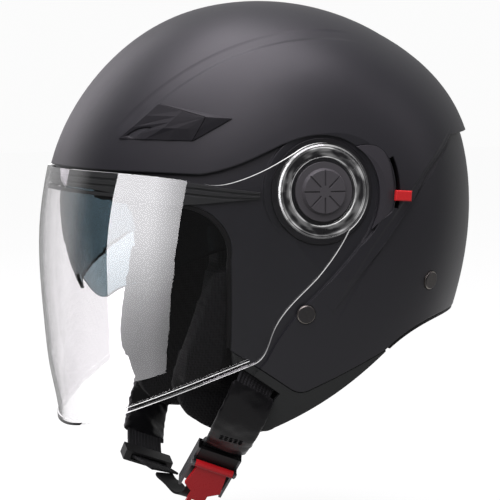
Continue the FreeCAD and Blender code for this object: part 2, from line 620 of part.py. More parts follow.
def toothed_wheel(teeth, low, high, y, z, towards, gap):
    """A small toothed wheel. A tooth, or a gap when gap is 1, faces the direction towards."""
    module = 2 * math.hypot(SUN_Y, SUN_Z) / (LEVER_TEETH + SUN_TEETH)
    pitch = module * teeth / 2
    step = 360.0 / teeth
    fill = step / 4 * TOOTH_FILL
    tip = pitch + TOOTH_TALL * module
    root = pitch - TOOTH_DEEP * module
    points = []
    for tooth in range(teeth):
        middle = towards + (tooth + gap / 2) * step
        profile = ((root, -TOOTH_FOOT), (tip, -TOOTH_CREST), (tip, TOOTH_CREST), (root, TOOTH_FOOT))
        for radius, turn in profile:
            points.append(on_circle(radius, middle + turn * fill, y, z))
    return side_prism(joined(points, [points[0]]), low, high)


def sun_pins():
    """The pin under each pivot boss that an arm of the sun visor turns on."""
    pin = turned_disc(SUN_PIN_RADIUS, SUN_PIN_TIP, PIN_END, SUN_Y, SUN_Z)
    return Part.makeCompound([pin, mirrored(pin)])


def sun_pin_caps():
    """A flat-headed screw in the end of each pin, which keeps the arm on."""
    cap = turned_disc(SUN_CAP_RADIUS, SUN_PIN_TIP - SUN_CAP_THICK, SUN_PIN_TIP, SUN_Y, SUN_Z)
    return Part.makeCompound([cap, mirrored(cap)])


def foam_liner():
    """The impact foam between shell and comfort lining, hollowed for what lies behind the shell."""
    foam = layer(-SHELL_WALL - FIT, FOAM_INNER)
    foam = foam.cut(moved(open_front_and_below(), FOAM_INSET, FOAM_INSET))
    foam = foam.cut(side_prism(joined(FOAM_BEHIND, [FOAM_BEHIND[0]])))
    foam = foam.cut(sun_sweep().cut(sun_body(SUN_WALL + SUN_CLEARANCE)))
    foam = foam.cut(both(turned_disc(SUN_CAP_RADIUS + 1.0, FOAM_CAP_FLOOR, BEYOND, SUN_Y, SUN_Z)))
    foam = foam.cut(both(turned_disc(BOSS_RADIUS + FIT, BOSS_INNER - FIT, BEYOND)))
    foam = foam.cut(turned_disc(SLOT_RADIUS + CRANK_SWEEP, BOSS_INNER - CRANK_SPACE, BEYOND))
    return foam.cut(leg_pockets())


def leg_pockets():
    """The space behind the shell for the webbing's legs and the plates at their rivets."""
    space = layer(0.0, -SHELL_WALL - HANGER_THICK - WEB_THICK - LEG_SLACK)
    legs = [space.common(side_prism(leg_outline(place, WEB_WIDTH / 2 + LEG_PLAY), LEG_INNER))
            for place in (FRONT_RIVET, REAR_RIVET)]
    return both(legs[0].fuse(legs[1]))


def sun_sweep():
    """The side view area that the sun visor and its arms pass over."""
    reach = 2 * BEYOND
    corners = [(SUN_Y + SUN_SWEEP_BACK, SUN_Z)]
    for angle in (SUN_SWEEP_LOW, (SUN_SWEEP_LOW + SUN_SWEEP_HIGH) / 2, SUN_SWEEP_HIGH):
        corners.append((SUN_Y - reach * math.cos(math.radians(angle)),
                        SUN_Z + reach * math.sin(math.radians(angle))))
    wedge = side_prism(joined(corners, [corners[0]]))
    return wedge.fuse(turned_disc(SUN_HUB + SUN_CLEARANCE, -BEYOND, BEYOND, SUN_Y, SUN_Z))


def shell_x(y, z):
    """How far out the left side of the plain egg lies at this place in the side view."""
    reach = dome().common(Part.makeLine(V(0, y, z), V(BEYOND, y, z)))
    return reach.BoundBox.XMax


def at_shell(shape, y, z, along=V(0, 1, 0)):
    """Set a shape made at the origin, with +Z outward, on the egg's left side."""
    step = LEG_STEP
    slope_y = (shell_x(y + step, z) - shell_x(y - step, z)) / (2 * step)
    slope_z = (shell_x(y, z + step) - shell_x(y, z - step)) / (2 * step)
    return framed(shape, V(shell_x(y, z), y, z), along, V(1, -slope_y, -slope_z))


def framed(shape, origin, along, outward):
    """Carry a shape's own X and Z to the directions given."""
    z = V(outward).normalize()
    x = (along - z * along.dot(z)).normalize()
    y = z.cross(x)
    turn = FreeCAD.Matrix(x.x, y.x, z.x, origin.x, x.y, y.y, z.y, origin.y,
                          x.z, y.z, z.z, origin.z, 0, 0, 0, 1)
    placed = shape.copy()
    placed.Placement = FreeCAD.Placement(turn).multiply(shape.Placement)
    return placed


def rivet(place, side):
    """A flat-headed strap rivet, seated in the shell."""
    head = Part.makeCylinder(RIVET_RADIUS, RIVET_PROUD + RIVET_SUNK, V(0, 0, -RIVET_SUNK))
    rims = [e for e in head.Edges if e.BoundBox.ZMin > RIVET_PROUD - NEAR]
    head = head.makeChamfer(RIVET_PROUD / 2, rims)
    shank = Part.makeCylinder(RIVET_SHANK, RIVET_REACH, V(0, 0, -RIVET_REACH))
    stud = at_shell(head.fuse(shank), *place)
    return stud if side > 0 else mirrored(stud)


def rivet_seats():
    """What the rivets take away from the shell."""
    seat = Part.makeCylinder(RIVET_RADIUS + FIT, DRILL, V(0, 0, -RIVET_SUNK))
    hole = Part.makeCylinder(RIVET_SHANK + FIT, 2 * DRILL, V(0, 0, -DRILL))
    seats = [both(at_shell(seat.fuse(hole), *place)) for place in (FRONT_RIVET, REAR_RIVET)]
    return seats[0].fuse(seats[1])


def leg_outline(place, half_width):
    """The side view outline of the webbing from a rivet down to the slot in the jaw trim."""
    along = V(0, STRAP_MEET[0] - place[0], STRAP_MEET[1] - place[1]).normalize()
    across = V(0, -along.z, along.y) * half_width
    top = V(0, *place) - along * (WEB_WIDTH / 2)
    end = V(0, *STRAP_MEET)
    corners = [top + across, end + across, end - across, top - across, top + across]
    return joined([(c.y, c.z) for c in corners])


def chin_strap(side):
    """The webbing: a leg inside the shell from each rivet, and the strap that they run into."""
    strap = webbing(LEFT_STRAP if side > 0 else RIGHT_STRAP, WEB_WIDTH, WEB_THICK)
    outer = -SHELL_WALL - FIT
    hollow = layer(outer, outer - WEB_THICK)
    for place in (FRONT_RIVET, REAR_RIVET):
        leg = hollow.common(side_prism(leg_outline(place, WEB_WIDTH / 2), LEG_INNER))
        leg = leg.cut(at_shell(Part.makeCylinder(RIVET_SHANK + FIT, 2 * DRILL, V(0, 0, -DRILL)), *place))
        strap = strap.fuse(leg if side > 0 else mirrored(leg))
    return strap


def hanger_plates():
    """The plates that spread each rivet's pull over the webbing."""
    plate = Part.makeCylinder(HANGER_RADIUS, HANGER_THICK, V(0, 0, -RIVET_REACH))
    plate = plate.cut(Part.makeCylinder(RIVET_SHANK, 2 * DRILL, V(0, 0, -DRILL)))
    plates = [at_shell(plate, *place) for place in (FRONT_RIVET, REAR_RIVET)]
    return Part.makeCompound(plates + [mirrored(p) for p in plates])


def ribbon(stations, outline):
    """A solid drawn through the stations. outline gives the section's corners as (across, through)."""
    places = [V(*place) for place, across in stations]
    wires = []
    for i, (place, across) in enumerate(stations):
        along = places[min(i + 1, len(places) - 1)] - places[max(i - 1, 0)]
        along.normalize()
        wide = V(*across)
        wide = (wide - along * wide.dot(along)).normalize()
        through = along.cross(wide)
        corners = [places[i] + wide * a + through * t for a, t in outline]
        wires.append(Part.makePolygon(corners + [corners[0]]))
    return Part.makeLoft(wires, True, False)


def webbing(stations, wide, thick):
    """A flat strap through the stations."""
    a = wide / 2
    t = thick / 2
    return ribbon(stations, [(-a, -t), (a, -t), (a, t), (-a, t)])


def strap_pad(side):
    """The padded sleeve that the chin strap runs through."""
    stations = LEFT_STRAP if side > 0 else RIGHT_STRAP
    first, last = PAD_STATIONS_LEFT if side > 0 else PAD_STATIONS_RIGHT
    a = PAD_WIDTH / 2
    t = PAD_THICK / 2
    edge = PAD_THICK / 3
    outline = [(-a, -t + edge), (-a + edge, -t), (a - edge, -t), (a, -t + edge),
               (a, t - edge), (a - edge, t), (-a + edge, t), (-a, t - edge)]
    sleeve = ribbon(stations[first:last], outline)
    return sleeve.cut(webbing(stations, WEB_WIDTH + 2 * FIT, WEB_THICK + 2 * FIT))


def crown_pad():
    """The comfort lining over crown and forehead."""
    pad = layer(FOAM_INNER - FIT, COMFORT_INNER)
    return pad.cut(side_prism(joined(CROWN_LOW, [(BEYOND, UNDER), (-BEYOND, UNDER), CROWN_LOW[0]])))


def neck_roll():
    """The thick roll along the rear edge, behind the nape."""
    roll = layer(-SHELL_WALL - FIT, NECK_INNER)
    return roll.common(side_prism(joined(NECK_AREA, [NECK_AREA[0]]))).cut(leg_pockets())


def cheek_pad(side):
    """The thick pad beside each cheek, which reaches in front of and below the shell's edge."""
    pad = layer(FOAM_INNER - FIT, CHEEK_INNER).common(side_prism(joined(CHEEK_UPPER, [CHEEK_UPPER[0]])))
    front = side_prism(joined(CHEEK_FRONT, [CHEEK_FRONT[0]]))
    pad = pad.fuse(layer(CHEEK_FRONT_OUTER, CHEEK_INNER).common(front))
    low = side_prism([CHEEK_LOW] + joined(CHEEK_LOW_TOP))
    return half(pad.fuse(layer(CHEEK_LOW_OUTER, CHEEK_INNER).common(low)), side)


def slider_area():
    """The crescent in the side view between the recess and the lever's slot, on the left only."""
    return side_prism([PANEL_OUTER, [PANEL_OUTER[-1], PANEL_LOW], PANEL_INNER]
                      + joined([PANEL_INNER[-1], PANEL_OUTER[0]]), 0.0)


def slider_panel():
    """The crescent-shaped cover between the recess and the lever's slot."""
    return slider_area().common(layer(PANEL_PROUD, PANEL_PROUD - PANEL_WALL))


def slider_pocket():
    """What the crescent cover and the lever's slot take away from the shell."""
    pocket = slider_area().cut(dome(PANEL_PROUD - PANEL_WALL - FIT))
    slot = turned_disc(SLOT_RADIUS + SLOT_WIDTH / 2, INBOARD, BEYOND)
    slot = slot.cut(turned_disc(SLOT_RADIUS - SLOT_WIDTH / 2, INBOARD, BEYOND))
    far = 2 * SLOT_RADIUS
    corners = [(0.0, 0.0), on_circle(far, SLOT_BOTTOM), on_circle(far, (SLOT_TOP + SLOT_BOTTOM) / 2),
               on_circle(far, SLOT_TOP)]
    return pocket.fuse(slot.common(side_prism(joined(corners, [corners[0]]))))


def sun_visor_lever():
    """The slider: a grip outside, a stem through the slot, and a crank with teeth behind the boss."""
    outer = shell_x(SLOT_RADIUS, 0.0)
    crank_outer = BOSS_INNER - CRANK_GAP
    crank_inner = crank_outer - CRANK_THICK
    arm = Part.makeBox(CRANK_THICK, SLOT_RADIUS, 2 * CRANK_HALF, V(crank_inner, 0, -CRANK_HALF))
    stem_half = SLOT_WIDTH / 2 - FIT
    stem = Part.makeBox(outer + LEVER_LIFT + STEM_SINK - crank_inner, 2 * stem_half, 2 * STEM_HALF,
                        V(crank_inner, SLOT_RADIUS - stem_half, -STEM_HALF))
    grip = Part.makeBox(LEVER_PROUD, LEVER_WIDTH, LEVER_HEIGHT,
                        V(outer + LEVER_LIFT, SLOT_RADIUS - LEVER_INSET, -LEVER_HEIGHT / 2))
    top = outer + LEVER_LIFT + LEVER_PROUD
    grip = grip.makeFillet(LEVER_ROUND, [e for e in grip.Edges if flat_at(e, top)])
    lever = arm.fuse(stem).fuse(grip)
    lever.rotate(V(0, 0, 0), V(1, 0, 0), LEVER_REST)
    wheel = toothed_wheel(LEVER_TEETH, crank_inner, crank_outer, 0.0, 0.0,
                          math.degrees(math.atan2(SUN_Z, SUN_Y)), 0)
    return lever.fuse(wheel).cut(turned_disc(SUN_PIN_RADIUS + PIN_CLEARANCE, INBOARD, BEYOND))


def lever_pivot():
    """The headed pin under the left boss that carries the lever's crank."""
    under = BOSS_INNER - 2 * CRANK_GAP - CRANK_THICK
    pin = turned_disc(SUN_PIN_RADIUS, under, PIN_END)
    return pin.fuse(turned_disc(SUN_PIN_RADIUS + PIVOT_LIP, under - PIVOT_LIP_THICK, under))


def between(start, end, share):
    return tuple(a + (b - a) * share for a, b in zip(start, end))


def vent_half(corners, ahead):
    """One half of the vent: facets that fall from the peak to the rim through the corners."""
    rim = []
    for start, end in zip(corners, corners[1:]):
        rim += [between(start, end, step / VENT_EDGE_STEPS) for step in range(VENT_EDGE_STEPS)]
    rim.append(corners[-1])
    waist = [between(VENT_PEAK, p, 0.5) for p in rim]
    lift = (VENT_RIM_LIFT + VENT_PEAK_LIFT) / 2
    rim = [off_shell(*p, VENT_RIM_LIFT) + ahead for p in rim]
    waist = [off_shell(*p, lift) + ahead for p in waist]
    peak = off_shell(*VENT_PEAK, VENT_PEAK_LIFT) + ahead
    facets = []
    for i in range(len(rim) - 1):
        facets.append((peak, waist[i], waist[i + 1]))
        facets.append((waist[i], rim[i], rim[i + 1]))
        facets.append((waist[i], rim[i + 1], waist[i + 1]))
    return faceted(facets, rim + [waist[-1], peak, waist[0]]).cut(dome(FIT))


def off_shell(y, z, lift):
    """The point this far off the egg's left side."""
    return at_shell(Part.Vertex(0, 0, lift), y, z).BoundBox.Center


def faceted(facets, rim):
    """A solid under triangular facets. rim is the outline around them."""
    front, top, rear, low = [V(*off_shell(*p, 0.0)) for p in (VENT_FRONT, VENT_TOP, VENT_REAR, VENT_LOW)]
    inward = (top - low).cross(rear - front).normalize() * VENT_ROOT
    lower = [p + inward for p in rim]
    triangles = list(facets)
    for i, corner in enumerate(rim):
        j = (i + 1) % len(rim)
        triangles += [(corner, rim[j], lower[j]), (corner, lower[j], lower[i])]
    middle = off_shell(*VENT_PEAK, 0.0) + inward
    for i, corner in enumerate(lower):
        triangles.append((middle, corner, lower[(i + 1) % len(lower)]))
    faces = [Part.Face(Part.makePolygon([a, b, c, a])) for a, b, c in triangles]
    solid = Part.Solid(Part.Shell(faces))
    if solid.Volume < 0:
        solid.reverse()
    return solid


def vent_frame(side):
    """The fixed rear half of the vent."""
    frame = vent_half((VENT_TOP, VENT_REAR, VENT_LOW), V(0, 0, 0))
    return frame if side > 0 else mirrored(frame)


def vent_flap(side):
    """The front half of the vent, which tips open on the ridge through the peak."""
    front, middle = off_shell(*VENT_FRONT, 0.0), off_shell(*between(VENT_TOP, VENT_LOW, 0.5), 0.0)
    flap = vent_half((VENT_TOP, VENT_FRONT, VENT_LOW), (front - middle).normalize() * VENT_GAP)
    return flap if side > 0 else mirrored(flap)


def vent_intake():
    """The slot in the shell under the flap."""
    slot = Part.makeBox(INTAKE_LONG, INTAKE_TALL, 2 * DRILL,
                       V(-INTAKE_LONG / 2, -INTAKE_TALL / 2, -DRILL))
    corners = [e for e in slot.Edges if e.BoundBox.ZLength > 1.0]
    slot = slot.makeFillet(INTAKE_TALL / 2 - NEAR, corners)
    return at_shell(slot, *VENT_INTAKE, off_shell(*VENT_TOP, 0.0) - off_shell(*VENT_LOW, 0.0))


def edge_bead(span, step, outer, inner):
    """A strip that covers the shell's cut edge. step is the direction away from the shell, as (y, z)."""
    opening = open_front_and_below()
    strip = moved(opening, *[FIT * s for s in step])
    strip = strip.cut(moved(opening, *[(FIT + BEAD_WIDTH) * s for s in step]))
    return strip.common(side_prism(joined(span, [span[0]]))).common(layer(outer, inner))


def in_buckle(shape):
    """Carry a shape from the buckle's own frame: X along the strap, Y across it, Z outward."""
    along = V(*BUCKLE_ALONG).normalize()
    return framed(shape, V(*BUCKLE), along, along.cross(V(*BUCKLE_ACROSS)))


def block(x, y, z):
    """A box from its range along each axis."""
    return Part.makeBox(x[1] - x[0], y[1] - y[0], z[1] - z[0], V(x[0], y[0], z[0]))


def across_pin(radius, half_length, x, z):
    return Part.makeCylinder(radius, 2 * half_length, V(x, -half_length, z), V(0, 1, 0))


def buckle_frame():
    """The channel that takes the strap's end at one end and the toothed tongue at the other."""
    x, y, z = FRAME_LONG / 2, FRAME_WIDE / 2, FRAME_TALL / 2
    frame = block((-x, x), (-y, y), (-z, z))
    frame = frame.cut(block((-x - 1, x + 1), (-y + FRAME_WALL, y - FRAME_WALL), (-z + FRAME_WALL, z + 1)))
    for side in (-1, 1):
        outer, inner = sorted((side * y, side * (y - FRAME_WALL)))
        ear = across_pin(EAR_RADIUS, FRAME_WALL / 2, BUCKLE_PIN_ALONG, BUCKLE_PIN_HIGH)
        ear.translate(V(0, (outer + inner) / 2, 0))
        neck = block((BUCKLE_PIN_ALONG - EAR_RADIUS, BUCKLE_PIN_ALONG + EAR_RADIUS), (outer, inner),
                     (0, BUCKLE_PIN_HIGH))
        frame = frame.fuse(ear).fuse(neck)
    frame = frame.cut(across_pin(BUCKLE_PIN_RADIUS, y + 1, BUCKLE_PIN_ALONG, BUCKLE_PIN_HIGH))
    return in_buckle(frame)


def buckle_cover():
    """The moulded cover over the strap's end of the buckle."""
    x, y, z = FRAME_LONG / 2, FRAME_WIDE / 2 - FRAME_WALL - FIT, FRAME_TALL / 2
    return in_buckle(block((-x, COVER_END), (-y, y), (COVER_LOW, z)))


def buckle_pin():
    """The pin that the release lever turns on."""
    return in_buckle(across_pin(BUCKLE_PIN_RADIUS - HUB_CLEARANCE / 2, FRAME_WIDE / 2 + BUCKLE_PIN_END,
                                BUCKLE_PIN_ALONG, BUCKLE_PIN_HIGH))


def buckle_lever():
    """The release lever: a barrel on the pin, a plate with a pawl under it, and a pull tab with a window."""
    barrel_radius = BUCKLE_PIN_HIGH - LEVER_PLATE_LOW
    y = FRAME_WIDE / 2 - FRAME_WALL - FIT
    top = LEVER_PLATE_LOW + LEVER_PLATE_THICK
    lever = across_pin(barrel_radius, y, BUCKLE_PIN_ALONG, BUCKLE_PIN_HIGH)
    start, end = BUCKLE_PIN_ALONG, BUCKLE_PIN_ALONG + LEVER_PLATE_LONG
    narrow, wide = LEVER_PLATE_WIDE / 2 - LEVER_WAIST, LEVER_PLATE_WIDE / 2 + LEVER_FLARE
    neck = end - LEVER_NECK
    corners = [V(start, -narrow, 0), V(neck, -wide, 0), V(end, -TAB_WIDE / 2, 0), V(end, TAB_WIDE / 2, 0),
               V(neck, wide, 0), V(start, narrow, 0), V(start, -narrow, 0)]
    plate = Part.Face(Part.makePolygon(corners)).extrude(V(0, 0, LEVER_PLATE_THICK))
    plate.translate(V(0, 0, LEVER_PLATE_LOW))
    tab = block((end - 2, end + TAB_LONG), (-TAB_WIDE / 2, TAB_WIDE / 2), (LEVER_PLATE_LOW, top))
    ends = [e for e in tab.Edges if e.BoundBox.ZLength > 1.0 and e.BoundBox.XMin > end]
    tab = tab.makeFillet(TAB_ROUND, ends)
    window = (end + TAB_LONG - TAB_WINDOW_START, end + TAB_LONG - TAB_WINDOW_END)
    tab = tab.cut(block(window, (-TAB_WINDOW / 2, TAB_WINDOW / 2), (0, 2 * top)))
    pawl = block((PAWL_ALONG, PAWL_ALONG + PAWL_LONG), (-TONGUE_WIDE / 2, TONGUE_WIDE / 2),
                 (PAWL_TIP, top - 1))
    lever = lever.fuse(plate).fuse(tab).fuse(pawl)
    return in_buckle(lever.cut(across_pin(BUCKLE_PIN_RADIUS + HUB_CLEARANCE / 2, y + 1, BUCKLE_PIN_ALONG,
                                          BUCKLE_PIN_HIGH)))


def ratchet_tongue():
    """The toothed tongue that the pawl holds: straight in the buckle, then round to the other strap."""
    low, high = TONGUE_LEVEL - TONGUE_THICK / 2, TONGUE_LEVEL + TONGUE_THICK / 2
    tongue = block((TONGUE_START, TONGUE_STRAIGHT), (-TONGUE_WIDE / 2, TONGUE_WIDE / 2), (low, high))
    tongue = in_buckle(tongue)
    along = V(*BUCKLE_ALONG).normalize()
    outward = along.cross(V(*BUCKLE_ACROSS)).normalize()
    mouth = V(*BUCKLE) + outward * TONGUE_LEVEL
    inside = [mouth + along * (TONGUE_STRAIGHT - back) for back in TONGUE_JOIN]
    tail = [((p.x, p.y, p.z), BUCKLE_ACROSS) for p in inside] + list(TONGUE_STATIONS)
    tongue = tongue.fuse(webbing(tail, TONGUE_WIDE - FIT, TONGUE_THICK - FIT))
    level = TONGUE_LEVEL + TONGUE_THICK / 2
    for tooth in range(TONGUE_TEETH):
        at = TONGUE_START + TONGUE_LEAD + tooth * TONGUE_PITCH
        foot, ahead = level - TONGUE_TOOTH_SINK, at + TONGUE_PITCH * TONGUE_TOOTH_SHARE
        corners = [V(at, 0, foot), V(ahead, 0, foot), V(at, 0, level + TONGUE_TOOTH), V(at, 0, foot)]
        ridge = Part.Face(Part.makePolygon(corners)).extrude(V(0, TONGUE_WIDE - 2, 0))
        ridge.translate(V(0, -TONGUE_WIDE / 2 + 1, 0))
        tongue = tongue.fuse(in_buckle(ridge))
    return tongue


def slide_adjuster():
    """The ladder-shaped slider on the right strap that sets its length."""
    x, y, z = ADJUSTER_LONG / 2, ADJUSTER_WIDE / 2, ADJUSTER_TALL / 2
    ring = block((-x, x), (-y, y), (-z, z))
    ring = ring.makeFillet(ADJUSTER_ROUND, [e for e in ring.Edges if e.BoundBox.ZLength > 2 * z - NEAR])
    room = WEB_THICK / 2 + ADJUSTER_PLAY
    ring = ring.cut(block((-x - 1, x + 1), (-WEB_WIDTH / 2 - FIT, WEB_WIDTH / 2 + FIT), (-room, room)))
    place, across = RIGHT_STRAP[ADJUSTER_STATION]
    along = V(*RIGHT_STRAP[ADJUSTER_STATION + 1][0]) - V(*RIGHT_STRAP[ADJUSTER_STATION - 1][0])
    return framed(ring, V(*place), along, along.cross(V(*across)))


PIECES = {
    "outer_shell": outer_shell,
    "foam_liner": foam_liner,
    "crown_pad": crown_pad,
    "neck_roll": neck_roll,
    "brow_trim": brow_trim,
    "rim_bead": lambda: edge_bead(RIM_SPAN, (0.0, -1.0), -FIT, -SHELL_WALL),
    "visor": visor,
    "base_screws": base_screws,
    "sun_visor": sun_visor,
    "sun_pins": sun_pins,
    "sun_pin_caps": sun_pin_caps,
    "sun_visor_lever": sun_visor_lever,
    "lever_pivot": lever_pivot,
    "slider_panel": slider_panel,
    "hanger_plates": hanger_plates,
    "buckle_frame": buckle_frame,
    "buckle_cover": buckle_cover,
    "buckle_pin": buckle_pin,
    "buckle_lever": buckle_lever,
    "ratchet_tongue": ratchet_tongue,
    "slide_adjuster": slide_adjuster,
}
PAIRS = {
    "jaw_trim": jaw_trim,
    "port_bead": lambda side: half(edge_bead(BEAD_SPAN, BEAD_STEP, -RECESS, -SHELL_WALL - FIT), side),
    "visor_base": visor_base,
    "pivot_knob": pivot_knob,
    "front_rivet": lambda side: rivet(FRONT_RIVET, side),
    "rear_rivet": lambda side: rivet(REAR_RIVET, side),
    "cheek_pad": cheek_pad,
    "chin_strap": chin_strap,
    "strap_pad": strap_pad,
    "vent_frame": vent_frame,
    "vent_flap": vent_flap,
}

os.makedirs("parts", exist_ok=True)
for name, make in PIECES.items():
    save(name, make())
for name, make in PAIRS.items():
    save(name + "_left", make(1))
    save(name + "_right", make(-1))
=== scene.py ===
import bpy
import math
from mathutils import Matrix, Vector


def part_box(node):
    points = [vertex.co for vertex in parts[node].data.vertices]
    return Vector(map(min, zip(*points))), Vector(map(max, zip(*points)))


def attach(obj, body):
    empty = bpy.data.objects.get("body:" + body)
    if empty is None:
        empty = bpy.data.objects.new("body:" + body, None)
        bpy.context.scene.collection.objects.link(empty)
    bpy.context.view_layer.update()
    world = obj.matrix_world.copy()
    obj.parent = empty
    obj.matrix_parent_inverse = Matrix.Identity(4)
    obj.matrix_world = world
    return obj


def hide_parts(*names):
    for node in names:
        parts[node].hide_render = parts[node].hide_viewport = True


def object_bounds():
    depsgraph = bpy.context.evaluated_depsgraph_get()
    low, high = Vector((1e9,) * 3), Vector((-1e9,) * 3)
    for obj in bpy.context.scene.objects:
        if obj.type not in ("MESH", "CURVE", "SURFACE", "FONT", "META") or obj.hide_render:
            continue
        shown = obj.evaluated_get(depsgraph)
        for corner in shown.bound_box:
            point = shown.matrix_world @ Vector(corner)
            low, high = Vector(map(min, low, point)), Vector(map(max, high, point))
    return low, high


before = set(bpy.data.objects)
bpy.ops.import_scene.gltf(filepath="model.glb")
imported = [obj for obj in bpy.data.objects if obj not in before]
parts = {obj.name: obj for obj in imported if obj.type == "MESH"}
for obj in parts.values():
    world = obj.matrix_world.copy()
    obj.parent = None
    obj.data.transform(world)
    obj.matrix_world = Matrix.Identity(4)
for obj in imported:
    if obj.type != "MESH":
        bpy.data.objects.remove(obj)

MM = 0.001
cad_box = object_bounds()


# The camera stands level with the face opening, well round to the wearer's left, with a long lens that
# keeps the two sides of the helmet nearly parallel.
def placed(name, data):
    """A new object in the scene."""
    thing = bpy.data.objects.new(name, data)
    bpy.context.scene.collection.objects.link(thing)
    return thing


def heading(azimuth, elevation):
    """The direction from the helmet to a place in the studio. Azimuth 0 is in front of the face opening and
    90 on the wearer's left; both are in degrees."""
    a = math.radians(azimuth)
    e = math.radians(elevation)
    return Vector((math.sin(a) * math.cos(e), -math.cos(a) * math.cos(e), math.sin(e)))


AZIMUTH = 72
ELEVATION = 3
DISTANCE = 1.5
LENS = 167.4
SENSOR = 36
AIM_ASIDE = -0.0063
AIM_BELOW = 0.0443
back = heading(AZIMUTH, ELEVATION)
aside = heading(AZIMUTH + 90, 0)
camera = placed("camera", bpy.data.cameras.new("camera"))
camera.data.lens = LENS
camera.data.sensor_width = SENSOR
camera.location = back * DISTANCE
aim = aside * AIM_ASIDE - back.cross(aside) * AIM_BELOW
camera.rotation_euler = (aim - camera.location).to_track_quat("-Z", "Y").to_euler()
bpy.context.scene.camera = camera
bpy.context.scene.view_settings.view_transform = "Standard"


# The studio: a pale floor and wall that glow by themselves, four softboxes, and a curved light panel that
# the visor mirrors. What each of them shows depends on how the light gets to the camera.
class Wire:
    """One output of a shader node. Arithmetic on it adds Math nodes, so that a mask reads as a formula."""

    def __init__(self, tree, socket=None):
        self.tree = tree
        self.socket = socket

    def node(self, kind, settings=None, sockets=None, output=0):
        """Add any node: its type, its settings, and the values or wires of its sockets."""
        made = self.tree.nodes.new("ShaderNode" + kind)
        for name, value in (settings or {}).items():
            setattr(made, name, value)
        for name, value in (sockets or {}).items():
            if isinstance(value, Wire):
                self.tree.links.new(value.socket, made.inputs[name])
            else:
                made.inputs[name].default_value = value
        return Wire(self.tree, made.outputs[output])

    def math(self, operation, first, second):
        """Add a Math node."""
        return self.node("Math", {"operation": operation}, {0: first, 1: second})

    def __add__(self, other):
        return self.math("ADD", self, other)

    def __radd__(self, other):
        return self.math("ADD", other, self)

    def __sub__(self, other):
        return self.math("SUBTRACT", self, other)

    def __rsub__(self, other):
        return self.math("SUBTRACT", other, self)

    def __mul__(self, other):
        return self.math("MULTIPLY", self, other)

    def __rmul__(self, other):
        return self.math("MULTIPLY", other, self)

    def __gt__(self, other):
        return self.math("GREATER_THAN", self, other)

    def __lt__(self, other):
        return self.math("LESS_THAN", self, other)


def ramp(value, start, end, low=0.0, high=1.0, kind="SMOOTHSTEP"):
    """A number that goes smoothly from low to high while a value goes from start to end."""
    return value.node("MapRange", {"interpolation_type": kind},
                      {"Value": value, "From Min": start, "From Max": end, "To Min": low, "To Max": high})


def axis(vector, n):
    """One coordinate of a vector: 0 for X, 1 for Y, 2 for Z."""
    return vector.node("SeparateXYZ", {}, {0: vector}, output=n)


def ray(wire, kind):
    """1 for the rays of this kind and 0 for others."""
    return wire.node("LightPath", output=kind)


def met(wire, kind):
    """1 once the light has met a surface of this kind on its way, and 0 before."""
    return wire.math("MINIMUM", wire.node("LightPath", output=kind + " Depth"), 1.0)


def show(wire, end="Material Output"):
    """Make a shader what a material or the world shows."""
    wire.tree.links.new(wire.socket, wire.tree.nodes[end].inputs[0])


# What stands behind the visor is shown brighter by this much, since its clear walls take part of the light.
CLEAR_LIFT = 1.42


def shown(wire, straight, mirrored, filled):
    """How bright a surface is where the camera sees it, also through clear plastic, where gloss shows it,
    and as a source of soft light. What the back of a clear wall mirrors counts as gloss."""
    diffused = met(wire, "Diffuse")
    bounced = met(wire, "Glossy")
    through = ray(wire, "Is Transmission Ray") * (1 - bounced)
    gloss = ray(wire, "Is Glossy Ray") * bounced
    seen = wire.math("MAXIMUM", ray(wire, "Is Camera Ray"), through * CLEAR_LIFT)
    return (seen * straight + gloss * mirrored) * (1 - diffused) + diffused * filled


ROOM_DIM = 0.03
WALL_PALE = 0.42
ROOM_END = 0.15
WALL_START = 0.5


def backdrop(wire, place):
    """What gloss shows in a direction: the dim room behind the camera, or the pale wall behind the helmet."""
    direction = wire.node("VectorMath", {"operation": "NORMALIZE"}, {0: place})
    away = wire.node("VectorMath", {"operation": "DOT_PRODUCT"}, {0: direction, 1: -back}, output="Value")
    return ramp(away, ROOM_END, WALL_START, ROOM_DIM, WALL_PALE)


# The floor is a pale sheet a little below the helmet. Near the helmet it has a soft glow of its own for
# satin surfaces, and lamps light it only where a sharp mirror image doesn't show it.
FLOOR_BELOW = 0.012
FLOOR_HALF = 6.0
FLOOR_GREY = 0.14
FLOOR_GLOW = 0.91
FLOOR_SHEEN = 0.3
SHEEN_FULL = 0.2
SHEEN_END = 1.4
level = cad_box[0].z - FLOOR_BELOW
floor_mesh = bpy.data.meshes.new("floor")
corners = [(FLOOR_HALF * x, FLOOR_HALF * y, level) for x, y in ((-1, -1), (1, -1), (1, 1), (-1, 1))]
floor_mesh.from_pydata(corners, [], [(0, 1, 2, 3)])
floor = placed("floor", floor_mesh)
floor_paint = bpy.data.materials.new("floor_paint")
floor_paint.use_nodes = True
spot = Wire(floor_paint.node_tree).node("TexCoord", output="Object")
beside = spot.node("VectorMath", {"operation": "LENGTH"}, {0: spot}, output="Value")
sheen = ramp(beside, SHEEN_FULL, SHEEN_END, FLOOR_SHEEN, 0.0) * (1 - ray(spot, "Is Singular Ray"))
floor_strength = shown(spot, FLOOR_GLOW, backdrop(spot, spot) + sheen, 0.0)
sharp = met(spot, "Glossy") * ray(spot, "Is Singular Ray")
lit = spot.node("BsdfDiffuse", {}, {"Color": (1 - sharp) * FLOOR_GREY})
glow = spot.node("Emission", {}, {"Color": (1, 1, 1, 1), "Strength": floor_strength})
show(spot.node("AddShader", {}, {0: lit, 1: glow}))
floor_mesh.materials.append(floor_paint)

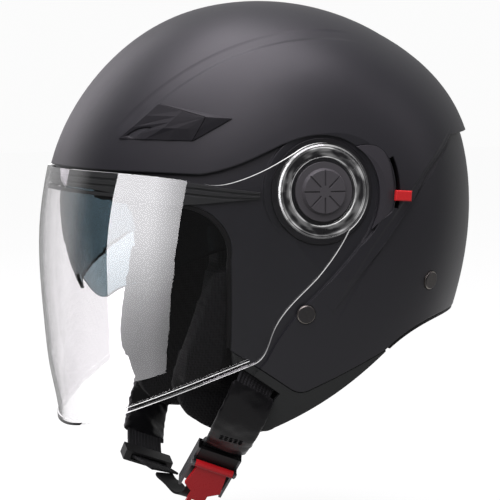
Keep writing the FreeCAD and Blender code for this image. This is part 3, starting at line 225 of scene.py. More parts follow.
# The wall and the room round the helmet are the world. It is white to the camera, and for soft light a weak
# and even fill.
SKY_GLOW = 0.97
SKY_FILL = 0.35
world = bpy.data.worlds.new("studio")
bpy.context.scene.world = world
world.use_nodes = True
sky = Wire(world.node_tree)
sky_strength = shown(sky, SKY_GLOW, backdrop(sky, sky.node("TexCoord")), SKY_FILL)
show(sky.node("Background", {}, {"Color": (1, 1, 1, 1), "Strength": sky_strength}), "World Output")

# Four softboxes: a large one overhead, a long one high on the camera's side, a strip behind that lights the
# rear of the crown, and a weak one on the far side.
LAMP_COLOUR = (1.0, 0.93, 1.02)
LAMP_AIM = Vector((0, 0, -0.03))


def softbox(name, azimuth, elevation, distance, width, height, bright):
    """A diffuse panel that faces the helmet. bright is its own brightness, where 1 is white."""
    lamp = placed(name, bpy.data.lights.new(name, "AREA"))
    lamp.data.shape = "RECTANGLE"
    lamp.data.size = width
    lamp.data.size_y = height
    lamp.data.energy = bright * math.pi * width * height
    lamp.data.color = LAMP_COLOUR
    lamp.location = heading(azimuth, elevation) * distance
    lamp.rotation_euler = (LAMP_AIM - lamp.location).to_track_quat("-Z", "Y").to_euler()


softbox("softbox_top", azimuth=30, elevation=80, distance=1.3, width=1.5, height=1.2, bright=4.0)
softbox("softbox_side", azimuth=48, elevation=37, distance=1.9, width=2.6, height=0.9, bright=2.3)
softbox("softbox_back", azimuth=150, elevation=25, distance=1.6, width=0.5, height=1.4, bright=1.0)
softbox("softbox_far", azimuth=-70, elevation=20, distance=1.8, width=1.0, height=1.0, bright=1.0)

# A curved light panel round the front, dimmer towards its foot and one side. Only what mirrors sharply shows
# it: the visor has it as one tall band.
PANEL_RADIUS = 0.27
PANEL_FOOT = (14, 44)
PANEL_HEAD = (14, 55)
PANEL_TOP = 0.20
PANEL_BRIGHT = 7.6
PANEL_STEPS = 24
FOOT_DIM = 0.3
FOOT_SPAN = (0.1, 0.5)
SIDE_DIM = 0.45
SIDE_SPAN = (0.55, 1.0)
panel_mesh = bpy.data.meshes.new("light_panel")
corners = []
for step in range(PANEL_STEPS + 1):
    for (start, end), height in ((PANEL_FOOT, level + MM), (PANEL_HEAD, PANEL_TOP)):
        turn = math.radians(start + (end - start) * step / PANEL_STEPS)
        corners.append((PANEL_RADIUS * math.sin(turn), -PANEL_RADIUS * math.cos(turn), height))
quads = [(2 * n, 2 * n + 1, 2 * n + 3, 2 * n + 2) for n in range(PANEL_STEPS)]
panel_mesh.from_pydata(corners, [], quads)
light_panel = placed("light_panel", panel_mesh)
panel_light = bpy.data.materials.new("panel_light")
panel_light.use_nodes = True
spot = Wire(panel_light.node_tree).node("TexCoord", output="Generated")
upward = ramp(axis(spot, 2), *FOOT_SPAN, FOOT_DIM, 1.0)
sideways = ramp(axis(spot, 0), *SIDE_SPAN, 1.0, SIDE_DIM)
sharp = ray(spot, "Is Singular Ray") * met(spot, "Glossy") * (1 - met(spot, "Diffuse"))
bright = upward * sideways * sharp * PANEL_BRIGHT
show(spot.node("Emission", {}, {"Color": (0.98, 0.97, 1, 1), "Strength": bright}))
panel_mesh.materials.append(panel_light)
light_panel.visible_camera = False
light_panel.visible_diffuse = False
light_panel.visible_transmission = False
light_panel.visible_shadow = False


# The outer shell is one injection moulding in ABS with a soft matt lacquer, nearly black. The lacquer has a
# fine orange peel, and is a little shinier where hands have rubbed it. Two soft creases run over its crown
# and rear.
def finish(name, plain):
    """A material, with what is the same all over set straight on its shader. Gives the material, its
    shader and a wire that carries the piece's own coordinates."""
    material = bpy.data.materials.new(name)
    material.use_nodes = True
    shader = material.node_tree.nodes["Principled BSDF"]
    for socket, value in plain.items():
        shader.inputs[socket].default_value = value
    place = Wire(material.node_tree).node("TexCoord", output="Object")
    return material, shader, place


def varies(shader, wires):
    """Connect what changes over the surface to the shader."""
    for socket, wire in wires.items():
        wire.tree.links.new(wire.socket, shader.inputs[socket])


def noise(place, scale, detail=2):
    """Even, unseeded noise from 0 to 1, with its scale in features per metre."""
    return place.node("TexNoise", {}, {"Vector": place, "Scale": scale, "Detail": detail, "Roughness": 0.5})


def between(factor, first, second):
    """A colour between two colours. A Mix node has its two colours in sockets 6 and 7, and gives output 2."""
    return factor.node("Mix", {"data_type": "RGBA"}, {0: factor, 6: (*first, 1), 7: (*second, 1)}, output=2)


SOFT_EDGE = 0.4 * MM
SHELL_EDGE = 1.2 * MM


def bumped(place, height, deep, edge=SOFT_EDGE):
    """A normal from a height map over eased edges: deep is how far 0 to 1 stands for, in metres."""
    eased = place.node("Bevel", {"samples": 6}, {"Radius": edge})
    return place.node("Bump", {}, {"Height": height, "Distance": deep, "Normal": eased})


def dress(material, *nodes):
    """Give this finish to CAD nodes."""
    for node in nodes:
        for held in parts[node].material_slots:
            held.material = material


def reach(across, up):
    """How far a place is from the zero point of two coordinates."""
    return across.node("Math", {"operation": "SQRT"}, {0: across * across + up * up})


# A crease is a circle in the side view, as its centre's y and z and its radius. It fades in and out over the
# two ends of its span along y.
CROWN_CREASE = (0.0127, -0.0616, 0.1552)
CROWN_SPAN = (-0.112, -0.100, 0.015, 0.040)
REAR_CREASE = (0.3869, -0.2828, 0.4306)
REAR_SPAN = (0.004, 0.020, 0.084, 0.096)
CREASE_HALF = 3.6 * MM
CREASE_DEEP = 0.6 * MM
PEEL_DEEP = 0.03 * MM


def crease(y, z, circle, span):
    """A soft groove along a circle in the side view, from 0 beside it to 1 at its bottom."""
    away = reach(y - circle[0], z - circle[1]) - circle[2]
    groove = ramp(away * away, 0.0, CREASE_HALF ** 2, 1.0, 0.0, "SMOOTHERSTEP")
    return groove * ramp(y, span[0], span[1]) * ramp(y, span[3], span[2])


shell_paint, shader, place = finish("shell_paint", {"Specular IOR Level": 0.5})
peel = noise(place, 2600, detail=3)
cloud = noise(place, 14, detail=3)
place_y, place_z = axis(place, 1), axis(place, 2)
crown_groove = crease(place_y, place_z, CROWN_CREASE, CROWN_SPAN)
rear_groove = crease(place_y, place_z, REAR_CREASE, REAR_SPAN)
relief = peel * (PEEL_DEEP / CREASE_DEEP) - (crown_groove + rear_groove)
varies(shader, {"Base Color": between(cloud, (0.0185, 0.019, 0.0225), (0.0215, 0.022, 0.0255)),
                "Roughness": 0.40 + cloud * 0.08,
                "Normal": bumped(place, relief, CREASE_DEEP, SHELL_EDGE)})
dress(shell_paint, "outer_shell")


# The vents are mouldings in the same lacquer, clipped into the shell's intakes: a fixed rear half, and a
# front half that tips on the thin ridge between them.
def both(name):
    """The node names of a pair."""
    return name + "_left", name + "_right"


def moulded(name, nodes, gloss, grain, dark, light, rough, rougher, deep, detail=2):
    """Dress nodes as a grained moulding. The grain, in features per metre, changes its colour from dark to
    light and its roughness by rougher, and stands deep metres high."""
    material, shader, place = finish(name, {"Specular IOR Level": gloss})
    mask = noise(place, grain, detail)
    varies(shader, {"Base Color": between(mask, dark, light),
                    "Roughness": rough + mask * rougher,
                    "Normal": bumped(place, mask, deep)})
    dress(material, *nodes)


moulded("vent_paint", both("vent_frame") + both("vent_flap"), gloss=0.3, grain=3200,
        dark=(0.010, 0.010, 0.012), light=(0.015, 0.015, 0.018), rough=0.40, rougher=0.1, deep=0.04 * MM)

# The crescent panel under the slider is a separate moulding with a smoother, greyer face. It sits in a
# shallow pocket of the shell and frames the slot.
moulded("panel_plastic", ["slider_panel"], gloss=0.5, grain=1800,
        dark=(0.040, 0.039, 0.044), light=(0.052, 0.050, 0.056), rough=0.30, rougher=0.08, deep=0.03 * MM)

# The slider that works the sun visor is moulded in signal red, with a slightly polished grip. It turns on
# the lever's pin inside the shell.
moulded("red_plastic", ["sun_visor_lever"], gloss=0.5, grain=1500,
        dark=(0.70, 0.018, 0.022), light=(0.80, 0.030, 0.032), rough=0.28, rougher=0.1, deep=0.02 * MM)

# The trims are grained mouldings in greenish black, clipped over the shell's edge: the ribbed strip over
# the face opening and the jaw pieces that carry the strap's slots.
trim_plastic, shader, place = finish("trim_plastic", {"Specular IOR Level": 0.45})
grain = place.node("TexVoronoi", {"feature": "F1"}, {"Vector": place, "Scale": 2200})
cloud = noise(place, 40)
varies(shader, {"Base Color": between(cloud, (0.020, 0.022, 0.021), (0.030, 0.033, 0.031)),
                "Roughness": 0.42 + grain * 0.25,
                "Normal": bumped(place, grain, 0.06 * MM)})
dress(trim_plastic, "brow_trim", *both("jaw_trim"))

# The beads along the shell's cut edges are soft extruded rubber, pushed on and glued: one down each side of
# the face opening and one round the neck.
moulded("edge_rubber", ("rim_bead", *both("port_bead")), gloss=0.2, grain=900, detail=3,
        dark=(0.006, 0.006, 0.006), light=(0.010, 0.010, 0.010), rough=0.5, rougher=0.2, deep=0.05 * MM)

# The strap's rivets are domed steel in a gunmetal plating with patchy wear towards pale brass, and a painted
# highlight of the same pale brass round the edge of each dome. They go through the shell into the plates that
# hold the strap's legs.
DOME_FLAT = 0.8
DOME_STEEP = 0.45
HIGHLIGHT_SHARE = 0.88
gunmetal, shader, place = finish("gunmetal", {"Metallic": 1.0})
wear = noise(place, 700, detail=3)
face_x = axis(place.node("TexCoord", output="Normal"), 0)
# Painted highlight round the edge of the dome, where its face turns away from straight out.
rim_highlight = ramp(face_x * face_x, DOME_STEEP, DOME_FLAT, 1.0, 0.0)
wear_and_highlight = wear * (1 - HIGHLIGHT_SHARE) + rim_highlight * HIGHLIGHT_SHARE
varies(shader, {"Base Color": between(wear_and_highlight, (0.05, 0.05, 0.052), (0.42, 0.39, 0.35)),
                "Roughness": 0.26 + wear * 0.2,
                "Normal": bumped(place, wear, 0.02 * MM)})
dress(gunmetal, *both("front_rivet"), *both("rear_rivet"))

# Bright steel has turning marks round each axis: the pins of sun visor, slider and buckle, the caps on the
# pins, and the zinc plates behind the rivets.
bright_steel, shader, place = finish("bright_steel", {"Metallic": 1.0})
turning = place.node("TexWave", {"wave_type": "RINGS", "rings_direction": "X"},
                     {"Vector": place, "Scale": 900, "Distortion": 1.0})
varies(shader, {"Base Color": between(turning, (0.42, 0.42, 0.43), (0.58, 0.58, 0.58)),
                "Roughness": 0.25 + turning * 0.15})
dress(bright_steel, "sun_pins", "sun_pin_caps", "lever_pivot", "hanger_plates", "buckle_pin")

# The round plates that the visor turns on are satin black nylon, and three black screws a side hold them in
# the shell's pocket.
moulded("pivot_plastic", (*both("visor_base"), "base_screws"), gloss=0.5, grain=2000,
        dark=(0.010, 0.010, 0.011), light=(0.018, 0.018, 0.020), rough=0.30, rougher=0.12, deep=0.03 * MM)

# The ribbed knobs are dark grey nylon. Each one clips into its plate through the visor's hub, and frees the
# visor after part of a turn.
moulded("knob_plastic", both("pivot_knob"), gloss=0.5, grain=2000,
        dark=(0.075, 0.073, 0.077), light=(0.095, 0.092, 0.097), rough=0.34, rougher=0.12, deep=0.03 * MM)


# The visor is one moulding in clear polycarbonate, hard coated, and hangs on the two knobs. Lamps shine
# through it, and fine pale lines along its cut edges and round its hubs are painted highlights that glow in
# it.
def see_through(material, shader, passed):
    """Let lamps and soft light shine through clear plastic, with the tint that it gives their light."""
    wire = Wire(material.node_tree)
    rough = ray(wire, "Is Glossy Ray") * (1 - ray(wire, "Is Singular Ray"))
    soft = wire.math("MAXIMUM", ray(wire, "Is Diffuse Ray"), rough)
    lamp = wire.math("MAXIMUM", ray(wire, "Is Shadow Ray"), soft)
    open_way = wire.node("BsdfTransparent", {}, {"Color": (*passed, 1)})
    show(wire.node("MixShader", {}, {0: lamp, 1: Wire(material.node_tree, shader.outputs[0]), 2: open_way}))


# A cut edge faces neither left nor right. Away from the middle of the visor it carries a painted highlight,
# dim where it looks level or down and bright where it looks up, and the lip's lower edge has a painted glow
# in front.
EDGE_FROM = 0.03
EDGE_LEAN = 0.01
EDGE_UP = 0.9
EDGE_HIGHLIGHT_LEAST = 0.05
EDGE_HIGHLIGHT_MOST = 0.95
LIP_GLOW = 0.45
LIP_DOWN = -0.5
LIP_SPAN = (-0.115, -0.07)
# The bevel is the sloping flank of the raised ring at each hub, with a painted highlight brightest where it
# looks up and forwards.
BEVEL_FROM = 0.1215
BEVEL_LEAN = (0.2, 0.8)
BEVEL_UP = 0.8
BEVEL_FORWARD = 0.6
BEVEL_SPAN = (-0.1, 0.7)
BEVEL_HIGHLIGHT_LEAST = 0.06
BEVEL_HIGHLIGHT_MOST = 0.45
# Two fine rings and the streaks between them are painted highlights in the hub's flat face. The streaks are
# noise drawn out round the hub: STREAK_OUT features a metre outwards, and STREAK_ROUND a radian.
HUB_FROM = 0.112
HUB_INSIDE = 17.0 * MM
HUB_OUTSIDE = 27.5 * MM
OUTER_RING = 26.2 * MM
OUTER_HALF = 0.4 * MM
OUTER_LEAST = 0.2
INNER_RING = 20.8 * MM
INNER_HALF = 0.3 * MM
RING_HIGHLIGHT = 0.35
STREAK_HIGHLIGHT = 0.07
STREAK_OUT = 260.0
STREAK_ROUND = 1.6
STREAK_SPAN = (0.45, 0.65)


def ring_highlight(from_hub, radius, half):
    """A fine circle of painted highlight round the hub."""
    away = from_hub - radius
    return ramp(away * away, 0.0, half ** 2, RING_HIGHLIGHT, 0.0)


visor_clear, shader, place = finish("visor_clear", {
    "Base Color": (0.99, 0.975, 0.99, 1), "Roughness": 0.0, "IOR": 1.48, "Specular Tint": (2.6, 2.6, 2.6, 1),
    "Transmission Weight": 1.0, "Emission Strength": 1.0})
see_through(visor_clear, shader, passed=(0.95, 0.96, 0.96))
facing = place.node("TexCoord", output="Normal")
face_x, face_y, face_z = (axis(facing, n) for n in range(3))
place_x, place_y, place_z = (axis(place, n) for n in range(3))
lean = face_x * face_x
beside = place_x * place_x
# Painted highlight along the cut edges, brighter where they look up, and a painted glow under the lip.
edge_highlight = ramp(face_z, 0.0, EDGE_UP, EDGE_HIGHLIGHT_LEAST, EDGE_HIGHLIGHT_MOST)
under = ramp(place_y, *LIP_SPAN, LIP_GLOW, 0.0) * (face_z < LIP_DOWN)
edges = (lean < EDGE_LEAN) * (beside > EDGE_FROM ** 2) * (edge_highlight + under)
bevel = (lean > BEVEL_LEAN[0]) * (lean < BEVEL_LEAN[1]) * (beside > BEVEL_FROM ** 2)
# Painted highlight on the bevel, brightest where it looks up and forwards.
bevel_highlight = ramp(face_z * BEVEL_UP - face_y * BEVEL_FORWARD, *BEVEL_SPAN, BEVEL_HIGHLIGHT_LEAST, BEVEL_HIGHLIGHT_MOST)
from_hub = reach(place_y, place_z)
turn = place.math("ARCTAN2", place_z, place_y)
swirl = place.node("CombineXYZ", {}, {0: from_hub * STREAK_OUT, 1: turn * STREAK_ROUND, 2: 0.0})
streak_highlight = ramp(noise(swirl, 1.0), *STREAK_SPAN)
hub = (from_hub > HUB_INSIDE) * (from_hub < HUB_OUTSIDE) * (beside > HUB_FROM ** 2)
outer = ring_highlight(from_hub, OUTER_RING, OUTER_HALF) * (OUTER_LEAST + streak_highlight * (1 - OUTER_LEAST))
inner = ring_highlight(from_hub, INNER_RING, INNER_HALF) * streak_highlight
# The hub's painted highlights: two fine rings and the streaks between them.
rings = hub * (outer + inner + streak_highlight * (from_hub > INNER_RING) * STREAK_HIGHLIGHT)
# The visor's painted highlights on its edges, bevels and hubs glow through its emission colour.
varies(shader, {"Emission Color": edges + bevel * bevel_highlight + rings})
dress(visor_clear, "visor")

# The sun visor is the same plastic, dyed a dark smoky teal. It turns on its own pins inside the shell, and
# slips up into a slot in the foam.
sun_tint, shader, place = finish("sun_tint", {
    "Base Color": (0.24, 0.31, 0.34, 1), "Roughness": 0.0, "IOR": 1.5, "Transmission Weight": 1.0})
see_through(sun_tint, shader, passed=(0.2, 0.26, 0.27))
dress(sun_tint, "sun_visor")

# The impact liner is black bead foam: small cells pressed flat against the mould. It is pushed into the
# shell and glued at a few spots.
bead_foam, shader, place = finish("bead_foam", {"Specular IOR Level": 0.1})
bead = place.node("TexVoronoi", {"feature": "DISTANCE_TO_EDGE"}, {"Vector": place, "Scale": 320})
varies(shader, {"Base Color": between(bead, (0.005, 0.005, 0.005), (0.012, 0.012, 0.012)),
                "Roughness": 0.75 - bead * 0.2,
                "Normal": bumped(place, bead, 0.3 * MM)})
dress(bead_foam, "foam_liner")

# The buckle's frame is a channel, pressed from steel sheet and plated dark. The left strap ends at it, and
# the tongue slides into its other end.
buckle_steel, shader, place = finish("buckle_steel", {"Metallic": 1.0})
grain = noise(place, 1200)
varies(shader, {"Base Color": between(grain, (0.14, 0.14, 0.145), (0.20, 0.20, 0.205)),
                "Roughness": 0.32 + grain * 0.15})
dress(buckle_steel, "buckle_frame")

# The buckle's cover, the toothed tongue that slides into it and the slider that sets the strap's length are
# moulded in black nylon.
moulded("black_nylon", ["buckle_cover", "ratchet_tongue", "slide_adjuster"], gloss=0.45, grain=2400,
        dark=(0.010, 0.010, 0.010), light=(0.018, 0.018, 0.018), rough=0.36, rougher=0.15, deep=0.04 * MM)

# The lever that lets the tongue go is moulded in a deep glossy red. It turns on the buckle's pin, against a
# small spring.
moulded("buckle_red", ["buckle_lever"], gloss=0.5, grain=1500,
        dark=(0.80, 0.014, 0.022), light=(0.90, 0.026, 0.034), rough=0.24, rougher=0.1, deep=0.02 * MM)

# The chin straps are woven black nylon, 24 mm wide, with thicker selvedges. Two legs hold each one: they run
# inside the shell to the rivets, and the strap leaves through the slot in the jaw trim.
WEB_WIDE = 24.0 * MM
WEB_THICK = 1.6 * MM
LEG_THIN = 0.9
# The stations of each strap in mm, from inside the shell through the slot and down to the buckle's frame or
# the tongue, each with the direction across the webbing.
LEFT_RUN = (
    ((100.6, -28.0, -108.0), (0.07, 0.82, -0.57)), ((97.0, -32.6, -114.2), (0.07, 0.82, -0.57)),
    ((98.2, -35.2, -118.2), (0.07, 0.82, -0.57)), ((100.4, -37.8, -123.4), (0.07, 0.83, -0.55)),
    ((99.4, -41.0, -132.0), (0.1, 0.88, -0.47)), ((94.0, -44.0, -141.5), (0.15, 0.9, -0.4)),
    ((83.0, -44.5, -150.0), (0.15, 0.93, -0.36)), ((70.0, -42.5, -156.0), (0.1, 0.93, -0.344)),
    ((58.0, -40.8, -160.0), (0.1, 0.93, -0.344)), ((49.6, -40.0, -162.4), (0.1, 0.93, -0.344)),
    ((45.8, -40.8, -165.5), (0.1, 0.93, -0.344)), ((42.7, -41.9, -169.3), (0.1, 0.93, -0.344)),
)
RIGHT_RUN = (
    ((-100.6, -28.0, -108.0), (-0.07, 0.82, -0.57)), ((-97.0, -32.6, -114.2), (-0.07, 0.82, -0.57)),
    ((-98.2, -35.2, -118.2), (-0.07, 0.82, -0.57)), ((-100.4, -37.8, -123.4), (-0.07, 0.83, -0.55)),
    ((-98.0, -43.0, -137.0), (-0.05, 0.86, -0.5)), ((-86.0, -52.0, -156.0), (0.1, 0.86, -0.45)),
    ((-62.0, -61.0, -172.0), (0.2, 0.88, -0.4)), ((-32.0, -67.5, -181.5), (0.1, 0.93, -0.35)),
    ((-13.0, -66.0, -184.0), (-0.15, 0.93, -0.33)), ((-4.0, -62.8, -186.3), (-0.15, 0.93, -0.33)),
)
RUN_STEPS = 6
# The woven section, in shares of half the width and half the thickness: one selvedge, and where the ribs
# between the two selvedges are, of which every other one stands higher.
SELVEDGE = ((1.0, 0.3), (0.985, 0.8), (0.95, 1.0), (0.88, 1.0), (0.85, 0.75))
RIB_PLACES = (-0.6, -0.4, -0.2, 0.0, 0.2, 0.4, 0.6)
RIB_LOW = 0.75
RIB_RISE = 0.12


def eased(run, steps):
    """The stations of a run in metres, with more in between on a smooth curve through them."""
    places = [Vector(place) * MM for place, across in run]
    crosses = [Vector(across) for place, across in run]
    rows = []
    for i in range(len(run) - 1):
        before, start, end, after = (places[min(max(i + k, 0), len(run) - 1)] for k in (-1, 0, 1, 2))
        for step in range(steps):
            t = step / steps
            bend = (2 * before - 5 * start + 4 * end - after) * t ** 2
            turn = (3 * start - before - 3 * end + after) * t ** 3
            place = 0.5 * (2 * start + (end - before) * t + bend + turn)
            rows.append((place, crosses[i].lerp(crosses[i + 1], t)))
    return rows + [(places[-1], crosses[-1])]


def swept(name, rows, outline):
    """A mesh drawn through the rows, with its outline as (across, through) in metres. The UV map is in metres
    along and round it."""
    points, faces, lengths = [], [], [0.0]
    for i, (place, across) in enumerate(rows):
        along = (rows[min(i + 1, len(rows) - 1)][0] - rows[max(i - 1, 0)][0]).normalized()
        wide = (across - along * across.dot(along)).normalized()
        through = along.cross(wide)
        points += [place + wide * a + through * t for a, t in outline]
        if i:
            lengths.append(lengths[-1] + (place - rows[i - 1][0]).length)
    n = len(outline)
    rounds = [0.0]
    for i in range(n):
        rounds.append(rounds[-1] + math.dist(outline[i], outline[(i + 1) % n]))
    maps = []
    for i in range(len(rows) - 1):
        for k in range(n):
            faces.append((i * n + k, i * n + (k + 1) % n, (i + 1) * n + (k + 1) % n, (i + 1) * n + k))
            maps += [(lengths[i], rounds[k]), (lengths[i], rounds[k + 1]), (lengths[i + 1], rounds[k + 1]),
                     (lengths[i + 1], rounds[k])]
    last = (len(rows) - 1) * n
    faces += [tuple(range(n))[::-1], tuple(last + k for k in range(n))]
    maps += [(0.0, 0.0)] * (2 * n)
    mesh = bpy.data.meshes.new(name)
    mesh.from_pydata(points, [], faces)
    uv = mesh.uv_layers.new(name="cloth")
    for loop, place in zip(uv.data, maps):
        loop.uv = place
    return mesh


def webbing_outline(wide, thick):
    """The section of a woven strap: thin rounded edges, and a raised selvedge on each side."""
    half, flat = wide / 2, thick / 2
    edge = [(-half * a, flat * t) for a, t in SELVEDGE]
    ribs = [(half * a, flat * (RIB_LOW + RIB_RISE * (i % 2))) for i, a in enumerate(RIB_PLACES)]
    top = edge + ribs + [(-a, t) for a, t in reversed(edge)]
    return top[::-1] + [(a, -t) for a, t in top]


# A leg is searched for from the side, inwards, in steps down its run: LEG_TRIES are the places across it
# that are tried in turn, and what lies nearer to the middle than LEG_LEAST is another part of the strap.
STRAP_MEET = (-28.0 * MM, -108.0 * MM)
LEG_STEPS = 12
LEG_LEAST = 60.0 * MM
LEG_TRIES = (0.0, 3.0 * MM, -3.0 * MM)
LEG_SINK = 1.1 * MM
LEG_OUTSIDE = 1.0


def leg_run(node, rivet):
    """Where a leg lies flat on the inside of the shell: from past its rivet to where both legs meet."""
    low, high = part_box(rivet)
    side = 1 if node.endswith("left") else -1
    top = Vector((0, (low[1] + high[1]) / 2, (low[2] + high[2]) / 2))
    foot = Vector((0, *STRAP_MEET))
    along = (foot - top).normalized()
    top = top - along * (WEB_WIDE / 2)
    across = Vector((1, 0, 0)).cross(along) * side
    rows = []
    for step in range(LEG_STEPS + 1):
        middle = top.lerp(foot, step / LEG_STEPS)
        for shift in LEG_TRIES:
            start = middle + across * shift + Vector((side * LEG_OUTSIDE, 0, 0))
            found, place, normal = parts[node].ray_cast(start, Vector((-side, 0, 0)))[:3]
            if found and place.x * side > LEG_LEAST:
                rows.append((place - normal * LEG_SINK - across * shift, normal))
                break
    flat = []
    for i, (place, normal) in enumerate(rows):
        outward = sum((row[1] for row in rows[max(i - 1, 0):i + 2]), Vector())
        run = rows[min(i + 1, len(rows) - 1)][0] - rows[max(i - 1, 0)][0]
        flat.append((place, run.cross(outward)))
    return flat


def made(name, data, material, slot):
    """A new piece of the helmet with a finish."""
    piece = placed(name, data)
    data.materials.append(material)
    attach(piece, "helmet")
    return piece


def smoothed(piece):
    """Shade a piece's faces as one smooth surface."""
    for polygon in piece.data.polygons:
        polygon.use_smooth = True


WAVE = math.pi / 10
RIB_APART = 2.2 * MM
PICK_APART = 1.5 * MM


def stripes(cloth, direction, apart, waver):
    """Stripes over woven cloth, apart metres from one to the next. WAVE is how far apart they lie in a wave
    texture of scale 1."""
    return cloth.node("TexWave", {"wave_type": "BANDS", "bands_direction": direction},
                      {"Vector": cloth, "Scale": WAVE / apart, "Distortion": waver, "Detail": 1,
                       "Detail Scale": 2.0})


webbing, shader, place = finish("webbing", {"Specular IOR Level": 0.3})
cloth = place.node("TexCoord", output="UV")
ribs = stripes(cloth, "Y", RIB_APART, 0.0)
picks = stripes(cloth, "X", PICK_APART, 0.6)
weave = ribs * (0.4 + picks * 0.6)
varies(shader, {"Base Color": between(weave, (0.006, 0.006, 0.0065), (0.022, 0.022, 0.024)),
                "Roughness": 0.62 + weave * 0.15,
                "Normal": bumped(place, weave, 0.35 * MM)})
for side, run in (("left", LEFT_RUN), ("right", RIGHT_RUN)):
    node = "chin_strap_" + side
    band = swept("webbing_" + side, eased(run, RUN_STEPS), webbing_outline(WEB_WIDE, WEB_THICK))
    pieces = [made("webbing_" + side, band, webbing, "webbing")]
    for rivet in ("front", "rear"):
        name = "%s_leg_%s" % (rivet, side)
        rows = leg_run(node, "%s_rivet_%s" % (rivet, side))
        leg = swept(name, rows, webbing_outline(WEB_WIDE, WEB_THICK * LEG_THIN))
        pieces.append(made(name, leg, webbing, "webbing"))
    for piece in pieces:
        smoothed(piece)
        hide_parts(node)

# The linings are closed covers of cloth over soft foam: a knitted mesh on crown and cheeks, and a smooth
# leather-like cloth on the neck roll and the strap's sleeves. They plump up between their seams, and press
# studs hold them in the foam.
SLEEVE_STEPS = 4
SLEEVE_START = 9
SLEEVE_END = {"left": 36, "right": 24}
SLEEVE_HALF = 16.0 * MM
SLEEVE_FLAT = 3.0 * MM
SLEEVE_EDGE = 1.8 * MM


def sleeve_mesh(name, side):
    """The strap's sleeve before it is stuffed, from the slot in the jaw trim down the strap."""
    run = LEFT_RUN if side == "left" else RIGHT_RUN
    half, flat, edge = SLEEVE_HALF, SLEEVE_FLAT, SLEEVE_EDGE
    outline = [(-half, -flat + edge), (-half + edge, -flat), (half - edge, -flat), (half, -flat + edge),
               (half, flat - edge), (half - edge, flat), (-half + edge, flat), (-half, flat - edge)]
    return swept(name, eased(run, SLEEVE_STEPS)[SLEEVE_START:SLEEVE_END[side] + 1], outline)


def settle(piece):
    """Apply a piece's modifiers to its mesh."""
    graph = bpy.context.evaluated_depsgraph_get()
    done = bpy.data.meshes.new_from_object(piece.evaluated_get(graph))
    piece.modifiers.clear()
    piece.data = done


SHRINK = 1.2 * MM
SWELL_MOST = 3.0 * MM
SWELL_FRAMES = 20
SWELL_PRESSURE = 4


def swollen(name, node, voxel):
    """A stuffed piece in the space of its CAD solid: a copy that is SHRINK smaller all round, blown up as
    cloth. No point moves farther than SWELL_MOST."""
    kind, side = node.rsplit("_", 1)
    piece = placed(name, sleeve_mesh(name, side) if kind == "strap_pad" else parts[node].data.copy())
    piece.data.materials.clear()
    even = piece.modifiers.new("even", "REMESH")
    even.mode = "VOXEL"
    even.voxel_size = voxel
    settle(piece)
    for vertex, normal in zip(piece.data.vertices, [v.normal.copy() for v in piece.data.vertices]):
        vertex.co -= normal * SHRINK
    start = [v.co.copy() for v in piece.data.vertices]
    swell = piece.modifiers.new("swell", "CLOTH")
    swell.settings.use_pressure = True
    swell.settings.uniform_pressure_force = SWELL_PRESSURE
    swell.settings.effector_weights.gravity = 0
    for step in range(1, SWELL_FRAMES + 1):
        bpy.context.scene.frame_set(step)
    settle(piece)
    bpy.context.scene.frame_set(1)
    for vertex, old in zip(piece.data.vertices, start):
        move = vertex.co - old
        if move.length > SWELL_MOST:
            vertex.co = old + move * (SWELL_MOST / move.length)
    smoothed(piece)
    rounder = piece.modifiers.new("rounder", "SUBSURF")
    rounder.levels = 1
    rounder.render_levels = 1
    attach(piece, "helmet")
    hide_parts(node)
    return piece


# The knitted mesh has a round hole every 1.6 mm.
HOLE_APART = 1.6 * MM
mesh_cloth, shader, place = finish("mesh_cloth", {"Specular IOR Level": 0.15})
cells = place.node("TexVoronoi", {"feature": "F1"},
                   {"Vector": place, "Scale": 1 / HOLE_APART, "Randomness": 0.25})
fibre = noise(place, 5200)
varies(shader, {"Base Color": between(cells, (0.002, 0.002, 0.002), (0.018, 0.018, 0.019)),
                "Roughness": 0.8 - cells * 0.15,
                "Normal": bumped(place, cells + fibre * 0.2, 0.6 * MM)})

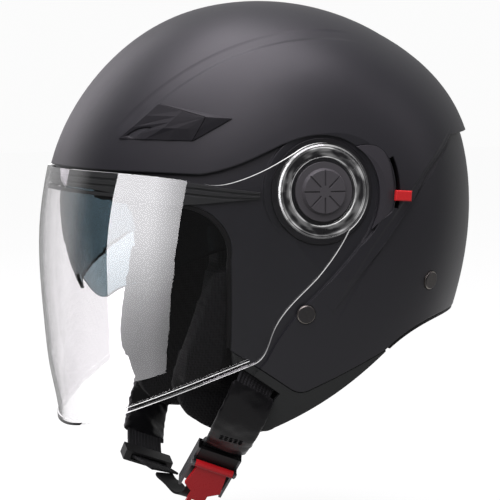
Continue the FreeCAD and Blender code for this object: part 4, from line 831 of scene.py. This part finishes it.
# The smooth cloth has a leather grain over soft folds.
leather_cloth, shader, place = finish("leather_cloth", {"Specular IOR Level": 0.3})
wrinkle = place.node("TexVoronoi", {"feature": "DISTANCE_TO_EDGE"}, {"Vector": place, "Scale": 900})
fold = noise(place, 60, detail=1)
varies(shader, {"Base Color": between(wrinkle, (0.005, 0.005, 0.0055), (0.010, 0.010, 0.011)),
                "Roughness": 0.31 - wrinkle * 0.08,
                "Normal": bumped(place, wrinkle * 0.04 + fold, 3.4 * MM)})

for name, voxel, cloth, slot in (("crown_pad", 0.003, mesh_cloth, "mesh_lining"),
                                 ("neck_roll", 0.004, leather_cloth, "neck_lining"),
                                 ("cheek_pad_left", 0.004, mesh_cloth, "mesh_lining"),
                                 ("cheek_pad_right", 0.004, mesh_cloth, "mesh_lining"),
                                 ("strap_pad_left", 0.0022, leather_cloth, "strap_fabric"),
                                 ("strap_pad_right", 0.0022, leather_cloth, "strap_fabric")):
    lining = swollen(name + "_lining", name, voxel)
    lining.data.materials.append(cloth)

# Three rows of stitches in black thread hold the buckle end of the left sleeve shut on the strap. Each
# stitch dips into the sleeve at its two ends.
STITCH_ROW = 25
STITCH_HALF = 7.0 * MM
STITCH_LONG = 2.4 * MM
STITCH_STEP = STITCH_LONG * 1.25
STITCH_APART = 2.4 * MM
STITCH_THICK = 0.3 * MM
STITCH_OUTSIDE = 20.0 * MM
rows = eased(LEFT_RUN, SLEEVE_STEPS)
middle, across = rows[STITCH_ROW]
along = (rows[STITCH_ROW + 1][0] - rows[STITCH_ROW - 1][0]).normalized()
wide = (across - along * across.dot(along)).normalized()
outward = along.cross(wide)
sleeve = bpy.data.objects["strap_pad_left_lining"]
bpy.context.view_layer.update()
thread = bpy.data.curves.new("sleeve_stitches", "CURVE")
thread.dimensions = "3D"
thread.bevel_depth = STITCH_THICK
thread.bevel_resolution = 2
thread.use_fill_caps = True
for row in (-1, 0, 1):
    start = -STITCH_HALF
    while start < STITCH_HALF:
        points = []
        for share in (0.0, 0.5, 1.0):
            over = middle + along * (row * STITCH_APART) + wide * (start + share * STITCH_LONG)
            found, place, normal = sleeve.ray_cast(over + outward * STITCH_OUTSIDE, -outward)[:3]
            if found:
                points.append(place + normal * (STITCH_THICK if share == 0.5 else 0.0))
        if len(points) == 3:
            stitch = thread.splines.new("POLY")
            stitch.points.add(2)
            for point, place in zip(stitch.points, points):
                point.co = (*place, 1)
        start += STITCH_STEP
made("sleeve_stitches", thread, webbing, "webbing")
